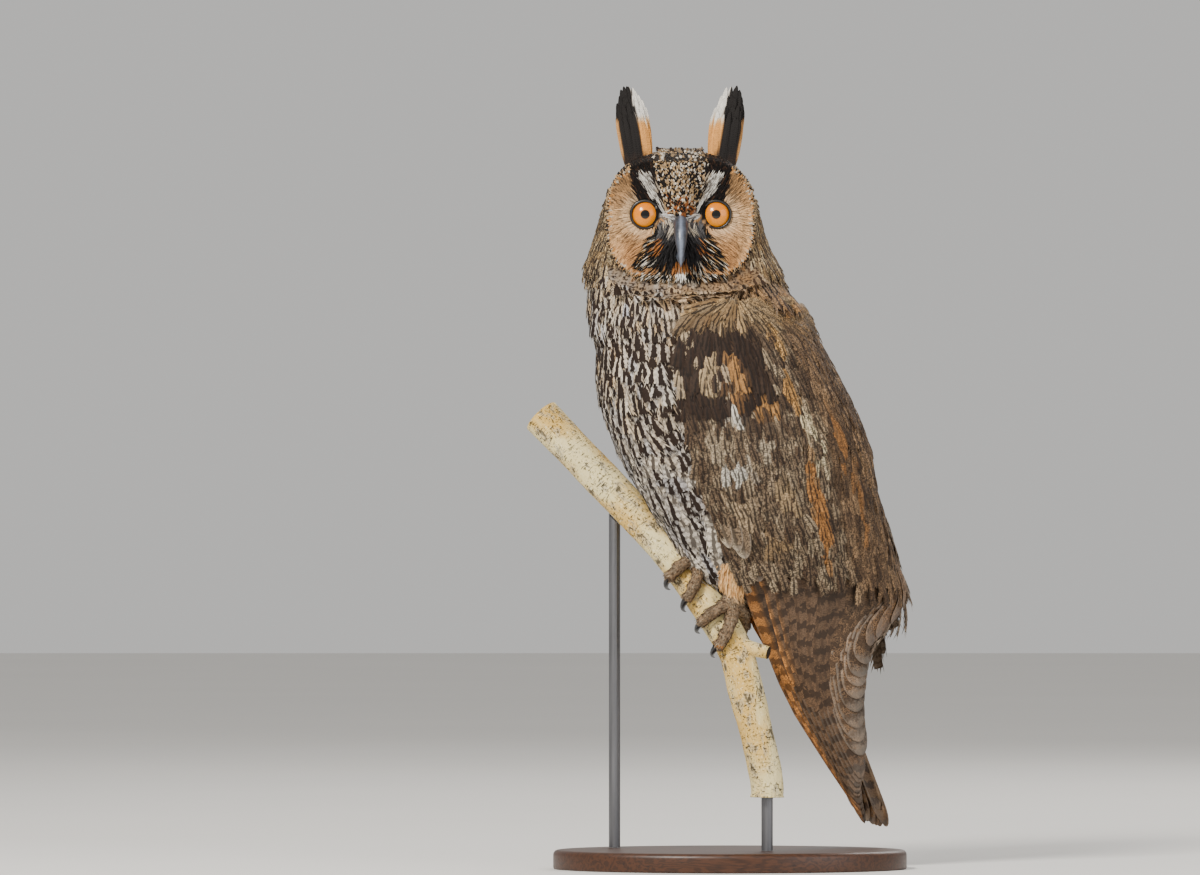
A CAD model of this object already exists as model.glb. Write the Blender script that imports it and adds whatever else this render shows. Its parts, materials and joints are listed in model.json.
"""Looks of a long-eared owl on a cut branch.

One skin carries thousands of small feathers that are mesh, the wings, tail and ear tufts
are laid feather by feather, and the eyes, bill, claws, branch and stand are pieces of
their own. Lengths here are in millimetres until a mesh is made.
"""

import json
import math

import bmesh
import bpy
import numpy as np
from bpy.props import FloatProperty, FloatVectorProperty, IntProperty, PointerProperty
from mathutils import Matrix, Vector

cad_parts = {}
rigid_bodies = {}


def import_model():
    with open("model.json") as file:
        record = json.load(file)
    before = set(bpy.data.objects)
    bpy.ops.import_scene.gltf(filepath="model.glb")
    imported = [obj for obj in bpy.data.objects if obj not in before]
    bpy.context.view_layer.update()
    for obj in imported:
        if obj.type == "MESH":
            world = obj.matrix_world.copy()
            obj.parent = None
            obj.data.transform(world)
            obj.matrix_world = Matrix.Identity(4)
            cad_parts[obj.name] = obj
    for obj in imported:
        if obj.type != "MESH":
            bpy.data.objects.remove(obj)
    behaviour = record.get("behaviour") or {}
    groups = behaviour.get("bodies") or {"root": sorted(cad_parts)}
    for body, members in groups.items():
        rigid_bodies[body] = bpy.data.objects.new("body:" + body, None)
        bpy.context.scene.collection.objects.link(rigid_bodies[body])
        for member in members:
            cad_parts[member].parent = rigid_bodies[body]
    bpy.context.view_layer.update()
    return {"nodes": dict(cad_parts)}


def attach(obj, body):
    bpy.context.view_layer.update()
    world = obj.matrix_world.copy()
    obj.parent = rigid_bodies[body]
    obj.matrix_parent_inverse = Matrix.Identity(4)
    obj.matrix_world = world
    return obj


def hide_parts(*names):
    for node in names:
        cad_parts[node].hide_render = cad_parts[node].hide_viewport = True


bl_info = {
    "name": "Long-eared Owl",
    "version": (1, 0, 0),
    "blender": (4, 5, 0),
    "location": "View3D > Sidebar > Owl",
    "description": "Dresses a long-eared owl on its branch: skin, feathers, eyes, bill and stand",
    "category": "Object",
}

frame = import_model()

MM = 0.001

# How the body stands, as in the solids
BODY_TURN = math.radians(62.0)
AXIS_SLOPE = -0.35
AXIS_X, AXIS_HEIGHT = 2, 223
FORWARD = np.array([-math.sin(BODY_TURN), -math.cos(BODY_TURN), 0.0])
LEFT = np.array([math.cos(BODY_TURN), -math.sin(BODY_TURN), 0.0])

# Body: height, front reach, back reach, half width
BODY_RINGS = (
    (126, 12, 14, 13),
    (134, 24, 19, 18),
    (142, 37, 24, 24),
    (150, 47, 30, 30),
    (160, 52, 36, 36),
    (176, 56, 45, 42),
    (200, 63, 57, 47.5),
    (223, 67, 62, 50),
    (250, 66, 61, 49),
    (280, 57, 57, 46),
    (292, 54.5, 58, 47),
    (302, 52, 59, 47),
)
# Head and nape: height, middle x, middle y, half width, half depth
HEAD_RINGS = (
    (292, -20, -11, 55, 49.5),
    (302, -22.5, -10, 53.5, 48.5),
    (312, -24.5, -9, 51.5, 45),
    (322, -25.7, -8, 48, 42),
    (332, -26, -8, 44.5, 39.5),
    (345, -26, -8, 40.8, 38),
    (358, -26, -7, 35.5, 34),
    (366, -26, -6, 29.5, 28.5),
    (371, -26, -5, 22.5, 22),
    (374, -26, -4.5, 13, 13),
)
CROWN = (-26, -4, 375.4)

# Face, from the middle between the eyes
FACE_MIDDLE = np.array([-25.9, 0.0, 339.7])
FACE_FRONT = -45
DISC_HALF_WIDTH = 37
DISC_HALF_HEIGHT = 30
DISC_DROP = 3
EYE_SPREAD = 18.35
EYE_RADIUS = 9.2
EYE_DEPTH = -31
LID_RADIUS = 7.3

# Wing sections: height, middle, half depth, half width, front and rear edge angle
WING_TOP = (
    (296, -2.5, 55, 48, 84, 108),
    (290, -2.5, 57.5, 49.3, 63, 148),
    (280, -2.4, 59.8, 51, 56, 166),
    (265, -1.6, 63.5, 54, 52, 171),
    (250, -1.0, 67, 57, 49, 173),
)
LEFT_WING_FOOT = (
    (223, -1.9, 69, 58.6, 45, 173),
    (200, -2.0, 65.4, 55.6, 41, 173),
    (176, -4.3, 61.5, 50, 38, 172),
    (160, -5.0, 60.5, 43, 40, 170),
    (140, -3.1, 59.9, 36, 45, 166),
    (117, 6.5, 43.7, 34, 47, 140),
    (88, 7.7, 39, 29, 52, 122),
    (57, 8, 22.8, 27, 52, 122),
    (36, 12, 9, 26, 52, 122),
    (20, 13, 6, 25.5, 52, 122),
)
RIGHT_WING_FOOT = (
    (223, -1.9, 69, 58.6, 49, 173),
    (200, -2.0, 65.4, 55.6, 54, 173),
    (176, -4.3, 61.5, 50, 60, 172),
    (160, -5.0, 60.5, 43, 66, 170),
    (140, -5.0, 58, 35, 70, 166),
    (117, -5.6, 41.9, 32, 64, 160),
    (88, -9.6, 25.3, 28, 58, 158),
    (57, -14.4, 10.4, 24, 54, 150),
    (48, -15, 9, 23, 54, 148),
)

# Branch: x, y, z along its middle, and its radius
PERCH_LINE = (
    (-98.3, 42, 235.6, 10.3),
    (-69.7, 30, 205.9, 10.2),
    (-48.4, 19, 183.6, 10.0),
    (-29.6, 7, 162.2, 9.8),
    (-13.0, -7, 139.4, 9.7),
    (1.6, -18, 116.0, 9.7),
    (8.0, -21.5, 93.1, 9.6),
    (12.6, -22.5, 75.0, 9.3),
    (17.4, -23, 54.0, 9.0),
    (19.0, -23, 44.0, 9.0),
    (19.0, -23, 38.0, 9.0),
)
STUB = ((0.0, -19.0, 118.0), (20.0, -27.0, 113.0))

# Toes: name, how far along the branch each ends, and its end angle round the branch
TOES = (
    ("outer", 17, 90),
    ("inner", 1, 94),
    ("rear_outer", 9, -104),
    ("rear_inner", -7, -104),
)
FOOT_AT = {"left": 150, "right": 119}
CLAW_TURN = 62
# Where the palms lie: how far round the branch, and how far off it
PALM = (6, 4.6)

# Base: half length and half width, then its edge from below, as heights and how far it draws in
BASE_HALF = (92, 66)
BASE_EDGE = ((0, 0.6), (0.5, 0.1), (1.2, 0), (4, 0), (7.4, 0), (8.2, 0.12), (8.9, 0.5))
BASE_EDGE += ((9.5, 1.05), (9.85, 1.8), (10, 2.8), (10, 8), (10, 30))

# Plumage colours, red, green and blue from 0 to 255 as a screen shows them
WHITE = (232, 227, 218)
CREAM = (226, 205, 168)
BUFF = (205, 168, 116)
TAWNY = (196, 148, 94)
ORANGE = (214, 150, 82)
GREY = (112, 104, 100)
BROWN = (98, 72, 50)
DARK = (50, 37, 29)


# How much stronger colours are made, because the render's tone curve softens them
DEPTH = 1.25
RICHNESS = 1.0


def shade(colour):
    """A screen colour as the linear numbers that materials use, made a little stronger."""
    share = np.asarray(colour, float) / 255
    linear = np.where(share <= 0.04045, share / 12.92, ((share + 0.055) / 1.055) ** 2.4)
    grey = linear.mean(-1, keepdims=True)
    return np.clip(grey + (linear - grey) * RICHNESS, 0, 1) ** DEPTH


def blend(a, b, share):
    """Between two colours, for many shares at once."""
    share = np.asarray(share, float)[..., None]
    return np.asarray(a, float) * (1 - share) + np.asarray(b, float) * share


def step_between(low, high, value):
    t = np.clip((np.asarray(value, float) - low) / (high - low), 0, 1)
    return t * t * (3 - 2 * t)


def unit(vectors):
    return vectors / np.maximum(np.linalg.norm(vectors, axis=-1, keepdims=True), 1e-9)


def level(vectors, normals):
    """Unit vectors without their share along the normals."""
    return unit(vectors - normals * np.sum(vectors * normals, -1, keepdims=True))


def read(table, heights):
    """Reads a table at many heights on a smooth curve through its rows."""
    rows = np.array(sorted(table), float)
    at, values = rows[:, 0], rows[:, 1:]
    last = len(at) - 1
    before, after = np.maximum(np.arange(len(at)) - 1, 0), np.minimum(np.arange(len(at)) + 1, last)
    slopes = (values[after] - values[before]) / (at[after] - at[before])[:, None]
    heights = np.clip(heights, at[0], at[-1])
    k = np.clip(np.searchsorted(at, heights, side="right") - 1, 0, last - 1)
    step = (at[k + 1] - at[k])[..., None]
    t = (heights - at[k])[..., None] / step
    return (
        (2 * t**3 - 3 * t**2 + 1) * values[k]
        + (t**3 - 2 * t**2 + t) * slopes[k] * step
        + (3 * t**2 - 2 * t**3) * values[k + 1]
        + (t**3 - t**2) * slopes[k + 1] * step
    )


def axis_at(height):
    """Where the leaning axis of the body passes at a height, as x and y."""
    slide = AXIS_X + AXIS_SLOPE * (height - AXIS_HEIGHT)
    return np.stack([slide, slide / math.tan(BODY_TURN)], -1)


def in_body(forward, left, height):
    """Points of the leaning body frame."""
    height = np.asarray(height, float)
    middle = np.concatenate([axis_at(height), height[..., None]], -1)
    return middle + np.asarray(forward)[..., None] * FORWARD + np.asarray(left)[..., None] * LEFT


def body_angle(points):
    """How far round the leaning body points lie, in degrees from straight ahead, left positive."""
    flat = points[..., :2] - axis_at(points[..., 2])
    return np.degrees(np.arctan2(flat @ LEFT[:2], flat @ FORWARD[:2]))


def face_depth(across, up):
    """How far along Y the face lies, and how near its rim, at places from its middle."""
    x = np.abs(across)
    rim = ((x / DISC_HALF_WIDTH) ** 3 + (np.abs(up + DISC_DROP) / DISC_HALF_HEIGHT) ** 3) ** (1 / 3)
    depth = FACE_FRONT + 0.0075 * x**2 + 0.004 * (up + DISC_DROP) ** 2
    depth = depth + 2.5 * np.maximum(0.0, 1 - rim**2) ** 2
    depth = depth + 3.0 * np.exp(-((np.hypot(x - EYE_SPREAD, up) / 11) ** 2))
    ridge = np.exp(-((x / 7.5) ** 2)) * step_between(-30, -14, up) * step_between(34, 16, up)
    depth = depth - 6.0 * ridge - 4.0 * np.exp(-((np.hypot(x / 1.1, up + 17) / 11) ** 2))
    return depth - 2.0 * np.exp(-(((rim - 1) / 0.09) ** 2)), rim


def ellipse_radius(angle, heading, half_along, half_across):
    turned = angle - heading
    flat = np.hypot(half_across * np.cos(turned), half_along * np.sin(turned))
    return half_along * half_across / flat


def trunk_grid(heights, columns):
    """Level rings of the body and head, one row for each height."""
    heights = np.asarray(heights, float)
    angle = np.linspace(0, 2 * math.pi, columns, endpoint=False)[None, :]
    front, back, half = (read(BODY_RINGS, heights)[:, i][:, None] for i in range(3))
    centre = in_body(((front - back) / 2)[:, 0], np.zeros(len(heights)), heights)
    mid_x, mid_y, wide, deep = (read(HEAD_RINGS, heights)[:, i][:, None] for i in range(4))
    share = step_between(284, 304, heights)[:, None]
    head_centre = np.stack([mid_x[:, 0], mid_y[:, 0], heights], -1)
    centre = centre * (1 - share) + head_centre * share
    heading = math.atan2(FORWARD[1], FORWARD[0])
    body = ellipse_radius(angle, heading, (front + back) / 2, half)
    head = ellipse_radius(angle, 0.0, wide, deep)
    reach = body * (1 - share) + head * share
    out = np.stack([np.cos(angle) + 0 * reach, np.sin(angle) + 0 * reach, 0 * reach], -1)
    grid = centre[:, None, :] + out * reach[..., None]
    depth, rim = face_depth(grid[..., 0] - FACE_MIDDLE[0], grid[..., 2] - FACE_MIDDLE[2])
    front_half = (grid[..., 1] < -8) & (grid[..., 2] > 296)
    pull = np.where(front_half, 1 - step_between(1.02, 1.3, rim), 0)
    grid[..., 1] += (depth - grid[..., 1]) * pull
    return grid


class Surface:
    """A grid of points, closed round its columns, that answers at any place on it."""

    def __init__(self, grid):
        self.points = grid
        self.rows, self.columns = grid.shape[:2]
        self.down = unit(np.gradient(grid, axis=0) * -1)
        self.around = unit(np.roll(grid, -1, 1) - np.roll(grid, 1, 1))
        self.normals = unit(np.cross(self.around, -self.down))

    def take(self, field, row, column):
        """Reads a field of the grid between its points."""
        row = np.clip(row, 0, self.rows - 1.001)
        low, left = np.floor(row).astype(int), np.floor(column).astype(int)
        u, v = (column - left)[..., None], (row - low)[..., None]
        left, right = left % self.columns, (left + 1) % self.columns
        near = field[low, left] * (1 - u) + field[low, right] * u
        far = field[low + 1, left] * (1 - u) + field[low + 1, right] * u
        return near * (1 - v) + far * v

    def ring_places(self, row, spacing, offset, rng, jitter):
        """Columns that lie evenly along one row, each moved a little."""
        ring = self.take(self.points, np.full(self.columns, row), np.arange(self.columns) * 1.0)
        steps = np.linalg.norm(np.roll(ring, -1, 0) - ring, axis=1)
        gone = np.concatenate([[0], np.cumsum(steps)])
        count = max(6, round(gone[-1] / spacing))
        along = (np.arange(count) + offset + rng.uniform(-jitter, jitter, count)) / count
        return np.interp(along % 1 * gone[-1], gone, np.arange(self.columns + 1))


def wing_points(side, share, height, sink=0.0):
    """Places on the outer face of a folded wing: 0 at its front edge, 1 at its rear edge."""
    table = WING_TOP + (LEFT_WING_FOOT if side > 0 else RIGHT_WING_FOOT)
    share, height = np.broadcast_arrays(np.asarray(share, float), np.asarray(height, float))
    middle, deep, wide, front, rear = np.moveaxis(read(table, height), -1, 0)
    angle = np.radians(front + (rear - front) * share)
    out = unit(np.stack([np.cos(angle) / deep, np.sin(angle) / wide], -1)) * np.asarray(sink)[..., None]
    forward = middle + deep * np.cos(angle) - out[..., 0]
    left = wide * np.sin(angle) - out[..., 1]
    return in_body(forward, side * left, height)


def wing_normals(side, share, height):
    """Straight out of the wing's outer face."""
    down = wing_points(side, share, height - 1) - wing_points(side, share, height + 1)
    back = wing_points(side, share + 0.02, height) - wing_points(side, share - 0.02, height)
    return unit(np.cross(back, down)) * -side


# Meshes


def new_piece(name, points, faces, smooth=True):
    """An object of a mesh, from points in millimetres."""
    mesh = bpy.data.meshes.new(name)
    mesh.from_pydata((np.asarray(points, float) * MM).tolist(), [], [tuple(f) for f in faces])
    mesh.update()
    if smooth:
        mesh.shade_smooth()
    thing = bpy.data.objects.new(name, mesh)
    bpy.context.scene.collection.objects.link(thing)
    return thing


def grid_faces(rows, columns, closed=False, start=0):
    """Four-sided faces of a grid of points."""
    across = columns if closed else columns - 1
    r, c = np.meshgrid(np.arange(rows - 1), np.arange(across), indexing="ij")
    a, b = r * columns + c, r * columns + (c + 1) % columns
    return (np.stack([a, b, b + columns, a + columns], -1).reshape(-1, 4) + start).tolist()


def face_outwards(thing):
    work = bmesh.new()
    work.from_mesh(thing.data)
    bmesh.ops.recalc_face_normals(work, faces=work.faces)
    if work.calc_volume(signed=True) < 0:
        bmesh.ops.reverse_faces(work, faces=work.faces)
    work.to_mesh(thing.data)
    work.free()


def tube(name, line, widths, heights, side, count, ends=("flat", "flat")):
    """A closed body swept along a line, each end flat or drawn to its middle."""
    line = np.asarray(line, float)
    ahead = unit(np.gradient(line, axis=0))
    side = np.asarray(side, float)
    across = unit(side - ahead * (ahead @ side)[:, None])
    up = np.cross(ahead, across)
    turn = np.linspace(0, 2 * math.pi, count, endpoint=False)
    widths, heights = np.asarray(widths, float), np.asarray(heights, float)
    rings = (
        line[:, None]
        + across[:, None] * (widths[:, None] * np.cos(turn))[..., None]
        + up[:, None] * (heights[:, None] * np.sin(turn))[..., None]
    )
    points = rings.reshape(-1, 3).tolist()
    faces = grid_faces(len(line), count, closed=True)
    for end, row in zip(ends, (0, len(line) - 1)):
        edge = [row * count + i for i in range(count)]
        if end == "flat":
            faces.append(edge)
        else:
            points.append((line[row] + ahead[row] * (0.6 if row else -0.6) * heights[row]).tolist())
            faces += [(edge[i], edge[(i + 1) % count], len(points) - 1) for i in range(count)]
    thing = new_piece(name, points, faces)
    face_outwards(thing)
    return thing


def smooth_rows(rows, parts):
    """Rows of numbers read on a smooth curve, with parts steps between each two."""
    table = [(i, *row) for i, row in enumerate(rows)]
    return read(table, np.linspace(0, len(rows) - 1, (len(rows) - 1) * parts + 1))


def join_bodies(thing, others, how="UNION"):
    """Makes one body of several that meet, or cuts the others out of it."""
    for other in others:
        step = thing.modifiers.new("join", "BOOLEAN")
        step.object = other
        step.operation = how
        step.solver = "EXACT"
    settle(thing)
    for other in others:
        drop(other)


def drop(thing):
    mesh = thing.data
    bpy.data.objects.remove(thing, do_unlink=True)
    if mesh.users == 0:
        bpy.data.meshes.remove(mesh)


def settle(thing):
    """Turns a piece with modifiers into a plain mesh."""
    bpy.context.view_layer.update()
    graph = bpy.context.evaluated_depsgraph_get()
    ready = thing.evaluated_get(graph)
    mesh = bpy.data.meshes.new_from_object(ready, preserve_all_data_layers=True, depsgraph=graph)
    old = thing.data
    thing.modifiers.clear()
    thing.data = mesh
    mesh.name = thing.name
    if old.users == 0:
        bpy.data.meshes.remove(old)


def write_field(mesh, name, values, kind="FLOAT_VECTOR"):
    """Stores numbers on a mesh's points for a material or a tree to read."""
    field = mesh.attributes.get(name) or mesh.attributes.new(name, kind, "POINT")
    key = "value" if kind in ("FLOAT", "INT") else "vector"
    values = np.ascontiguousarray(values, np.int32 if kind == "INT" else np.float32)
    field.data.foreach_set(key, values.ravel())


def read_field(mesh, name, width=3):
    field = mesh.attributes[name]
    values = np.zeros(len(field.data) * width, np.float32)
    field.data.foreach_get("vector" if width == 3 else "value", values)
    return values.reshape(-1, width) if width > 1 else values


def mesh_points(mesh):
    places = np.zeros(len(mesh.vertices) * 3, np.float32)
    mesh.vertices.foreach_get("co", places)
    return places.reshape(-1, 3) / MM


def write_map(mesh, places):
    """The baking map, from a place for each of the mesh's points."""
    corners = np.zeros(len(mesh.loops), np.int32)
    mesh.loops.foreach_get("vertex_index", corners)
    layer = mesh.uv_layers.get("OFBake") or mesh.uv_layers.new(name="OFBake")
    places = np.ascontiguousarray(np.clip(places, 0, 1)[corners], np.float32)
    layer.data.foreach_set("uv", places.ravel())


# Materials

# What a wave in a pattern is counted in
FULL_TURN = 6.2832


def sums(operation, turned=False):
    """A method of a value in a material that adds one Math node."""

    def method(self, *others):
        return self.paint.maths(operation, *((*others, self) if turned else (self, *others)))

    return method


class Number:
    """A value in a material; plain sums on it add Math nodes."""

    def __init__(self, paint, socket):
        self.paint = paint
        self.socket = socket

    __add__ = __radd__ = sums("ADD")
    __sub__, __rsub__ = sums("SUBTRACT"), sums("SUBTRACT", turned=True)
    __mul__ = __rmul__ = sums("MULTIPLY")
    __truediv__, __abs__, sine = sums("DIVIDE"), sums("ABSOLUTE"), sums("SINE")
    most, least = sums("MAXIMUM"), sums("MINIMUM")

    def clip(self):
        """Held between 0 and 1."""
        return self.paint.maths("ADD", self, 0.0, clamp=True)

    def ramp(self, low, high):
        """0 at low and 1 at high, eased between them."""
        node = self.paint.node(
            "ShaderNodeMapRange", {"interpolation_type": "SMOOTHSTEP"}, (self, low, high, 0.0, 1.0)
        )
        return Number(self.paint, node.outputs["Result"])


class Paint:
    """A finish made of nodes, for one kind of surface."""

    def __init__(self, name, roughness=0.7, **sockets):
        self.material = bpy.data.materials.new(name)
        self.material.use_nodes = True
        self.tree = self.material.node_tree
        self.shader = self.tree.nodes["Principled BSDF"]
        self.set(Roughness=roughness, **sockets)

    def set(self, **sockets):
        for name, value in sockets.items():
            self.feed(self.shader.inputs[name.replace("_", " ")], value)

    def feed(self, socket, value):
        if isinstance(value, Number):
            value = value.socket
        if isinstance(value, bpy.types.NodeSocket):
            self.tree.links.new(value, socket)
        elif hasattr(socket.default_value, "__len__"):
            values = [float(v) for v in value]
            socket.default_value = values + [1.0] * (len(socket.default_value) - len(values))
        else:
            socket.default_value = value

    def node(self, kind, settings=None, values=()):
        """Any node: its settings first, then the values or links of its sockets."""
        node = self.tree.nodes.new(kind)
        for key, value in (settings or {}).items():
            setattr(node, key, value)
        pairs = values.items() if isinstance(values, dict) else enumerate(values)
        for key, value in pairs:
            if value is not None:
                self.feed(node.inputs[key], value)
        return node

    def maths(self, operation, *values, clamp=False):
        node = self.node("ShaderNodeMath", {"operation": operation, "use_clamp": clamp}, values)
        return Number(self, node.outputs[0])

    def mix(self, share, a, b, kind="MIX"):
        """Between two colours."""
        node = self.node("ShaderNodeMix", {"data_type": "RGBA", "blend_type": kind})
        self.feed(node.inputs["Factor"], share)
        colours = [s for s in node.inputs if s.type == "RGBA"]
        self.feed(colours[0], a)
        self.feed(colours[1], b)
        return [s for s in node.outputs if s.type == "RGBA"][0]

    def brighten(self, colour, amount):
        """A colour times a number."""
        node = self.node("ShaderNodeVectorMath", {"operation": "SCALE"})
        self.feed(node.inputs[0], colour)
        self.feed(node.inputs["Scale"], amount)
        return node.outputs[0]

    def field(self, name):
        """A vector or colour that the mesh carries."""
        return self.node("ShaderNodeAttribute", {"attribute_name": name}).outputs["Vector"]

    def number(self, name):
        return Number(self, self.node("ShaderNodeAttribute", {"attribute_name": name}).outputs["Fac"])

    def split(self, vector):
        node = self.node("ShaderNodeSeparateXYZ", None, (vector,))
        return [Number(self, socket) for socket in node.outputs]

    def vector(self, *parts):
        return self.node("ShaderNodeCombineXYZ", None, parts).outputs[0]

    def place(self):
        return self.node("ShaderNodeTexCoord").outputs["Object"]

    def noise(self, scale, detail=2.0, vector=None, rough=0.5):
        values = {"Vector": vector or self.place(), "Scale": scale, "Detail": detail, "Roughness": rough}
        return Number(self, self.node("ShaderNodeTexNoise", None, values).outputs["Fac"])

    def bump(self, height, strength=0.4, distance=0.0005):
        values = {"Strength": strength, "Distance": distance, "Height": height}
        self.set(Normal=self.node("ShaderNodeBump", None, values).outputs[0])

    def finish(self, thing):
        thing.data.materials.clear()
        thing.data.materials.append(self.material)


def plumage(name, roughness=0.75):
    """Feathers: each reads its own colours and marks from the mesh that it belongs to.

    light and dark are its two colours. marks hold how much it has of a shaft streak, of
    bars and of fine flecks, sizes its length, width and chance number, and trim how pale
    its edge is, how much of its root is dark, and how far apart its bars are.
    """
    paint = Paint(name, roughness, Specular_IOR_Level=0.25)
    light, dark = paint.field("light"), paint.field("dark")
    streak, barred, flecked = paint.split(paint.field("marks"))
    long, wide, chance = paint.split(paint.field("sizes"))
    edge, dim, spacing = paint.split(paint.field("trim"))
    across, reach = paint.number("across"), paint.number("reach")
    side = abs(across)
    along = reach * long
    off = side * wide * 0.5
    wander = paint.noise(520.0, 2.0) - 0.5
    local = paint.vector(across * wide * 0.5, along, chance * 60.0)
    mottle = paint.noise(0.55, 2.0, local)
    worm = paint.noise(
        1.0, 2.0, paint.vector(across * wide * 0.55 + chance * 9.0, along * 1.9, chance * 40.0)
    )
    shaft = wide * (0.05 + 0.13 * reach) * streak
    is_streak = (shaft + wander * wide * 0.35 - off).ramp(-0.1, 0.25) * streak.least(1.0)
    phase = along / spacing + wander * 0.9 + side * 0.16 + chance * 3.0
    is_bar = ((phase * FULL_TURN).sine()).ramp(-0.05, 0.45) * barred
    is_fleck = worm.ramp(0.48, 0.54) * flecked
    patch = (reach + mottle * 0.5).ramp(0.72, 0.95)
    ground = paint.mix((1.0 - dim * (1.0 - patch)).clip(), dark, light)
    marked = is_streak.most(is_bar).most(is_fleck)
    colour = paint.mix(marked.clip(), ground, dark)
    rim = side.most((reach - 0.5) * 2.0) + wander * 0.25
    pale = paint.mix(0.35, light, shade(WHITE))
    colour = paint.mix((rim.ramp(0.8, 0.95) * edge).clip(), colour, pale)
    tone = 0.82 + chance * 0.2 + (mottle - 0.5) * 0.5
    paint.set(Base_Color=paint.brighten(colour, tone))
    barbs = ((along - off * 0.8) * 5.2).sine()
    paint.bump(barbs * 0.5 + wander, 0.35, 0.00025)
    return paint


def flesh_paint(name, roughness=0.85):
    """Skin under the coat, whose two colours come from the mesh."""
    paint = Paint(name, roughness, Specular_IOR_Level=0.2)
    mottle = paint.noise(700.0, 3.0)
    colour = paint.mix(mottle.ramp(0.42, 0.62), paint.field("light"), paint.field("dark"))
    paint.set(Base_Color=colour)
    paint.bump(mottle, 0.4, 0.0006)
    return paint


def iris_paint(colour):
    """A glossy eye: black pupil, streaked iris that is redder above, and a dark rim."""
    paint = Paint("Eye", 0.2, Coat_Weight=0.35, Coat_Roughness=0.03, Specular_IOR_Level=0.3)
    x, _, z = paint.split(paint.field("local"))
    out = paint.maths("SQRT", x * x + z * z)
    turn = paint.maths("ARCTAN2", z, x)
    fibres = paint.noise(1.0, 3.0, paint.vector(turn * 9.0, out * 0.9, 0.0), 0.6)
    base = paint.mix((z * 0.09 + 0.4).clip(), (0.72, 0.25, 0.001), tuple(colour))
    base = paint.mix(fibres.ramp(0.35, 0.75) * 0.5, base, (0.5, 0.11, 0.001))
    base = paint.mix(out.ramp(5.4, 6.5) * 0.7, base, (0.4, 0.12, 0.002))
    base = paint.mix((1.0 - out.ramp(2.3, 3.1)) * 0.6, base, (0.5, 0.16, 0.003))
    base = paint.mix(1.0 - out.ramp(2.2, 2.5), base, (0.003, 0.003, 0.003))
    base = paint.mix(out.ramp(6.45, 6.8), base, (0.006, 0.005, 0.004))
    paint.set(Base_Color=base)
    return paint


def horn_paint(name, dark, pale):
    """Slate horn, paler along its ridge and finely grooved."""
    paint = Paint(name, 0.32, Specular_IOR_Level=0.5, Coat_Weight=0.25, Coat_Roughness=0.2)
    ridge = paint.number("across")
    grooves, cloud = paint.noise(900.0, 2.0), paint.noise(260.0, 3.0)
    share = (ridge + (cloud - 0.5) * 0.7).clip()
    colour = paint.mix(share, tuple(shade(dark)), tuple(shade(pale)))
    paint.set(Base_Color=paint.brighten(colour, 0.8 + grooves * 0.4))
    paint.set(Roughness=0.25 + cloud * 0.3)
    paint.bump(grooves, 0.15, 0.0003)
    return paint


def bark_paint():
    """Cream and yellow bark with black flecks, lichen-grey patches and cracks."""
    paint = Paint("Bark", 0.85, Specular_IOR_Level=0.25)
    local = paint.field("local")
    broad, plates = paint.noise(0.05, 3.0, local), paint.noise(0.2, 4.0, local, 0.6)
    fine = paint.noise(1.1, 3.0, local, 0.6)
    dashes = paint.noise(0.55, 2.0, paint.field("around"), 0.6)
    colour = paint.mix(broad.ramp(0.4, 0.6), shade((232, 218, 172)), shade((218, 186, 116)))
    colour = paint.mix(plates.ramp(0.54, 0.6) * 0.5, colour, shade((186, 180, 164)))
    fleck = fine.ramp(0.59, 0.63).most(dashes.ramp(0.6, 0.64)) * plates.ramp(0.4, 0.5)
    scar = plates.ramp(0.62, 0.66)
    dark = fleck.most(scar * 0.85)
    colour = paint.mix(dark * 0.9, colour, shade((40, 34, 28)))
    colour = paint.mix((1.0 - fine.ramp(0.3, 0.42)) * 0.5, colour, shade((246, 240, 216)))
    paint.set(Base_Color=colour)
    paint.bump(plates * 0.6 + fine * 0.5 - dark * 0.6, 0.7, 0.001)
    return paint


def cut_wood_paint():
    """End grain of a cut branch, with growth rings and a dark bark edge."""
    paint = Paint("Cut wood", 0.8, Specular_IOR_Level=0.25)
    out = paint.number("across")
    rough = paint.noise(420.0, 4.0)
    rings = ((out * 9.0 + (rough - 0.5) * 0.8) * FULL_TURN).sine().ramp(-0.4, 0.9)
    colour = paint.mix(rings * 0.6, shade((196, 160, 110)), shade((140, 100, 62)))
    colour = paint.mix(out.ramp(0.88, 0.97), colour, shade((62, 50, 38)))
    paint.set(Base_Color=paint.brighten(colour, 0.7 + rough * 0.6))
    paint.bump(rough + rings * 0.3, 0.5, 0.0005)
    return paint


def base_wood_paint():
    """Satin wood of the stand, with grain along its length."""
    paint = Paint("Base wood", 0.42, Specular_IOR_Level=0.4, Coat_Weight=0.15, Coat_Roughness=0.3)
    x, y, z = paint.split(paint.place())
    grain_at = paint.vector(x * 9.0, y * 90.0, z * 60.0)
    grain = paint.noise(1.0, 4.0, grain_at, 0.6)
    pores = paint.noise(1.0, 2.0, paint.vector(x * 60.0, y * 1400.0, z * 900.0))
    rings = ((grain * 14.0) * FULL_TURN).sine().ramp(-0.7, 0.9)
    colour = paint.mix(rings * 0.55, shade((92, 60, 38)), shade((52, 33, 22)))
    colour = paint.mix(pores.ramp(0.58, 0.7) * 0.5, colour, shade((34, 22, 15)))
    paint.set(Base_Color=colour)
    paint.set(Roughness=0.34 + pores * 0.2)
    paint.bump(pores, 0.12, 0.0003)
    return paint


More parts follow.
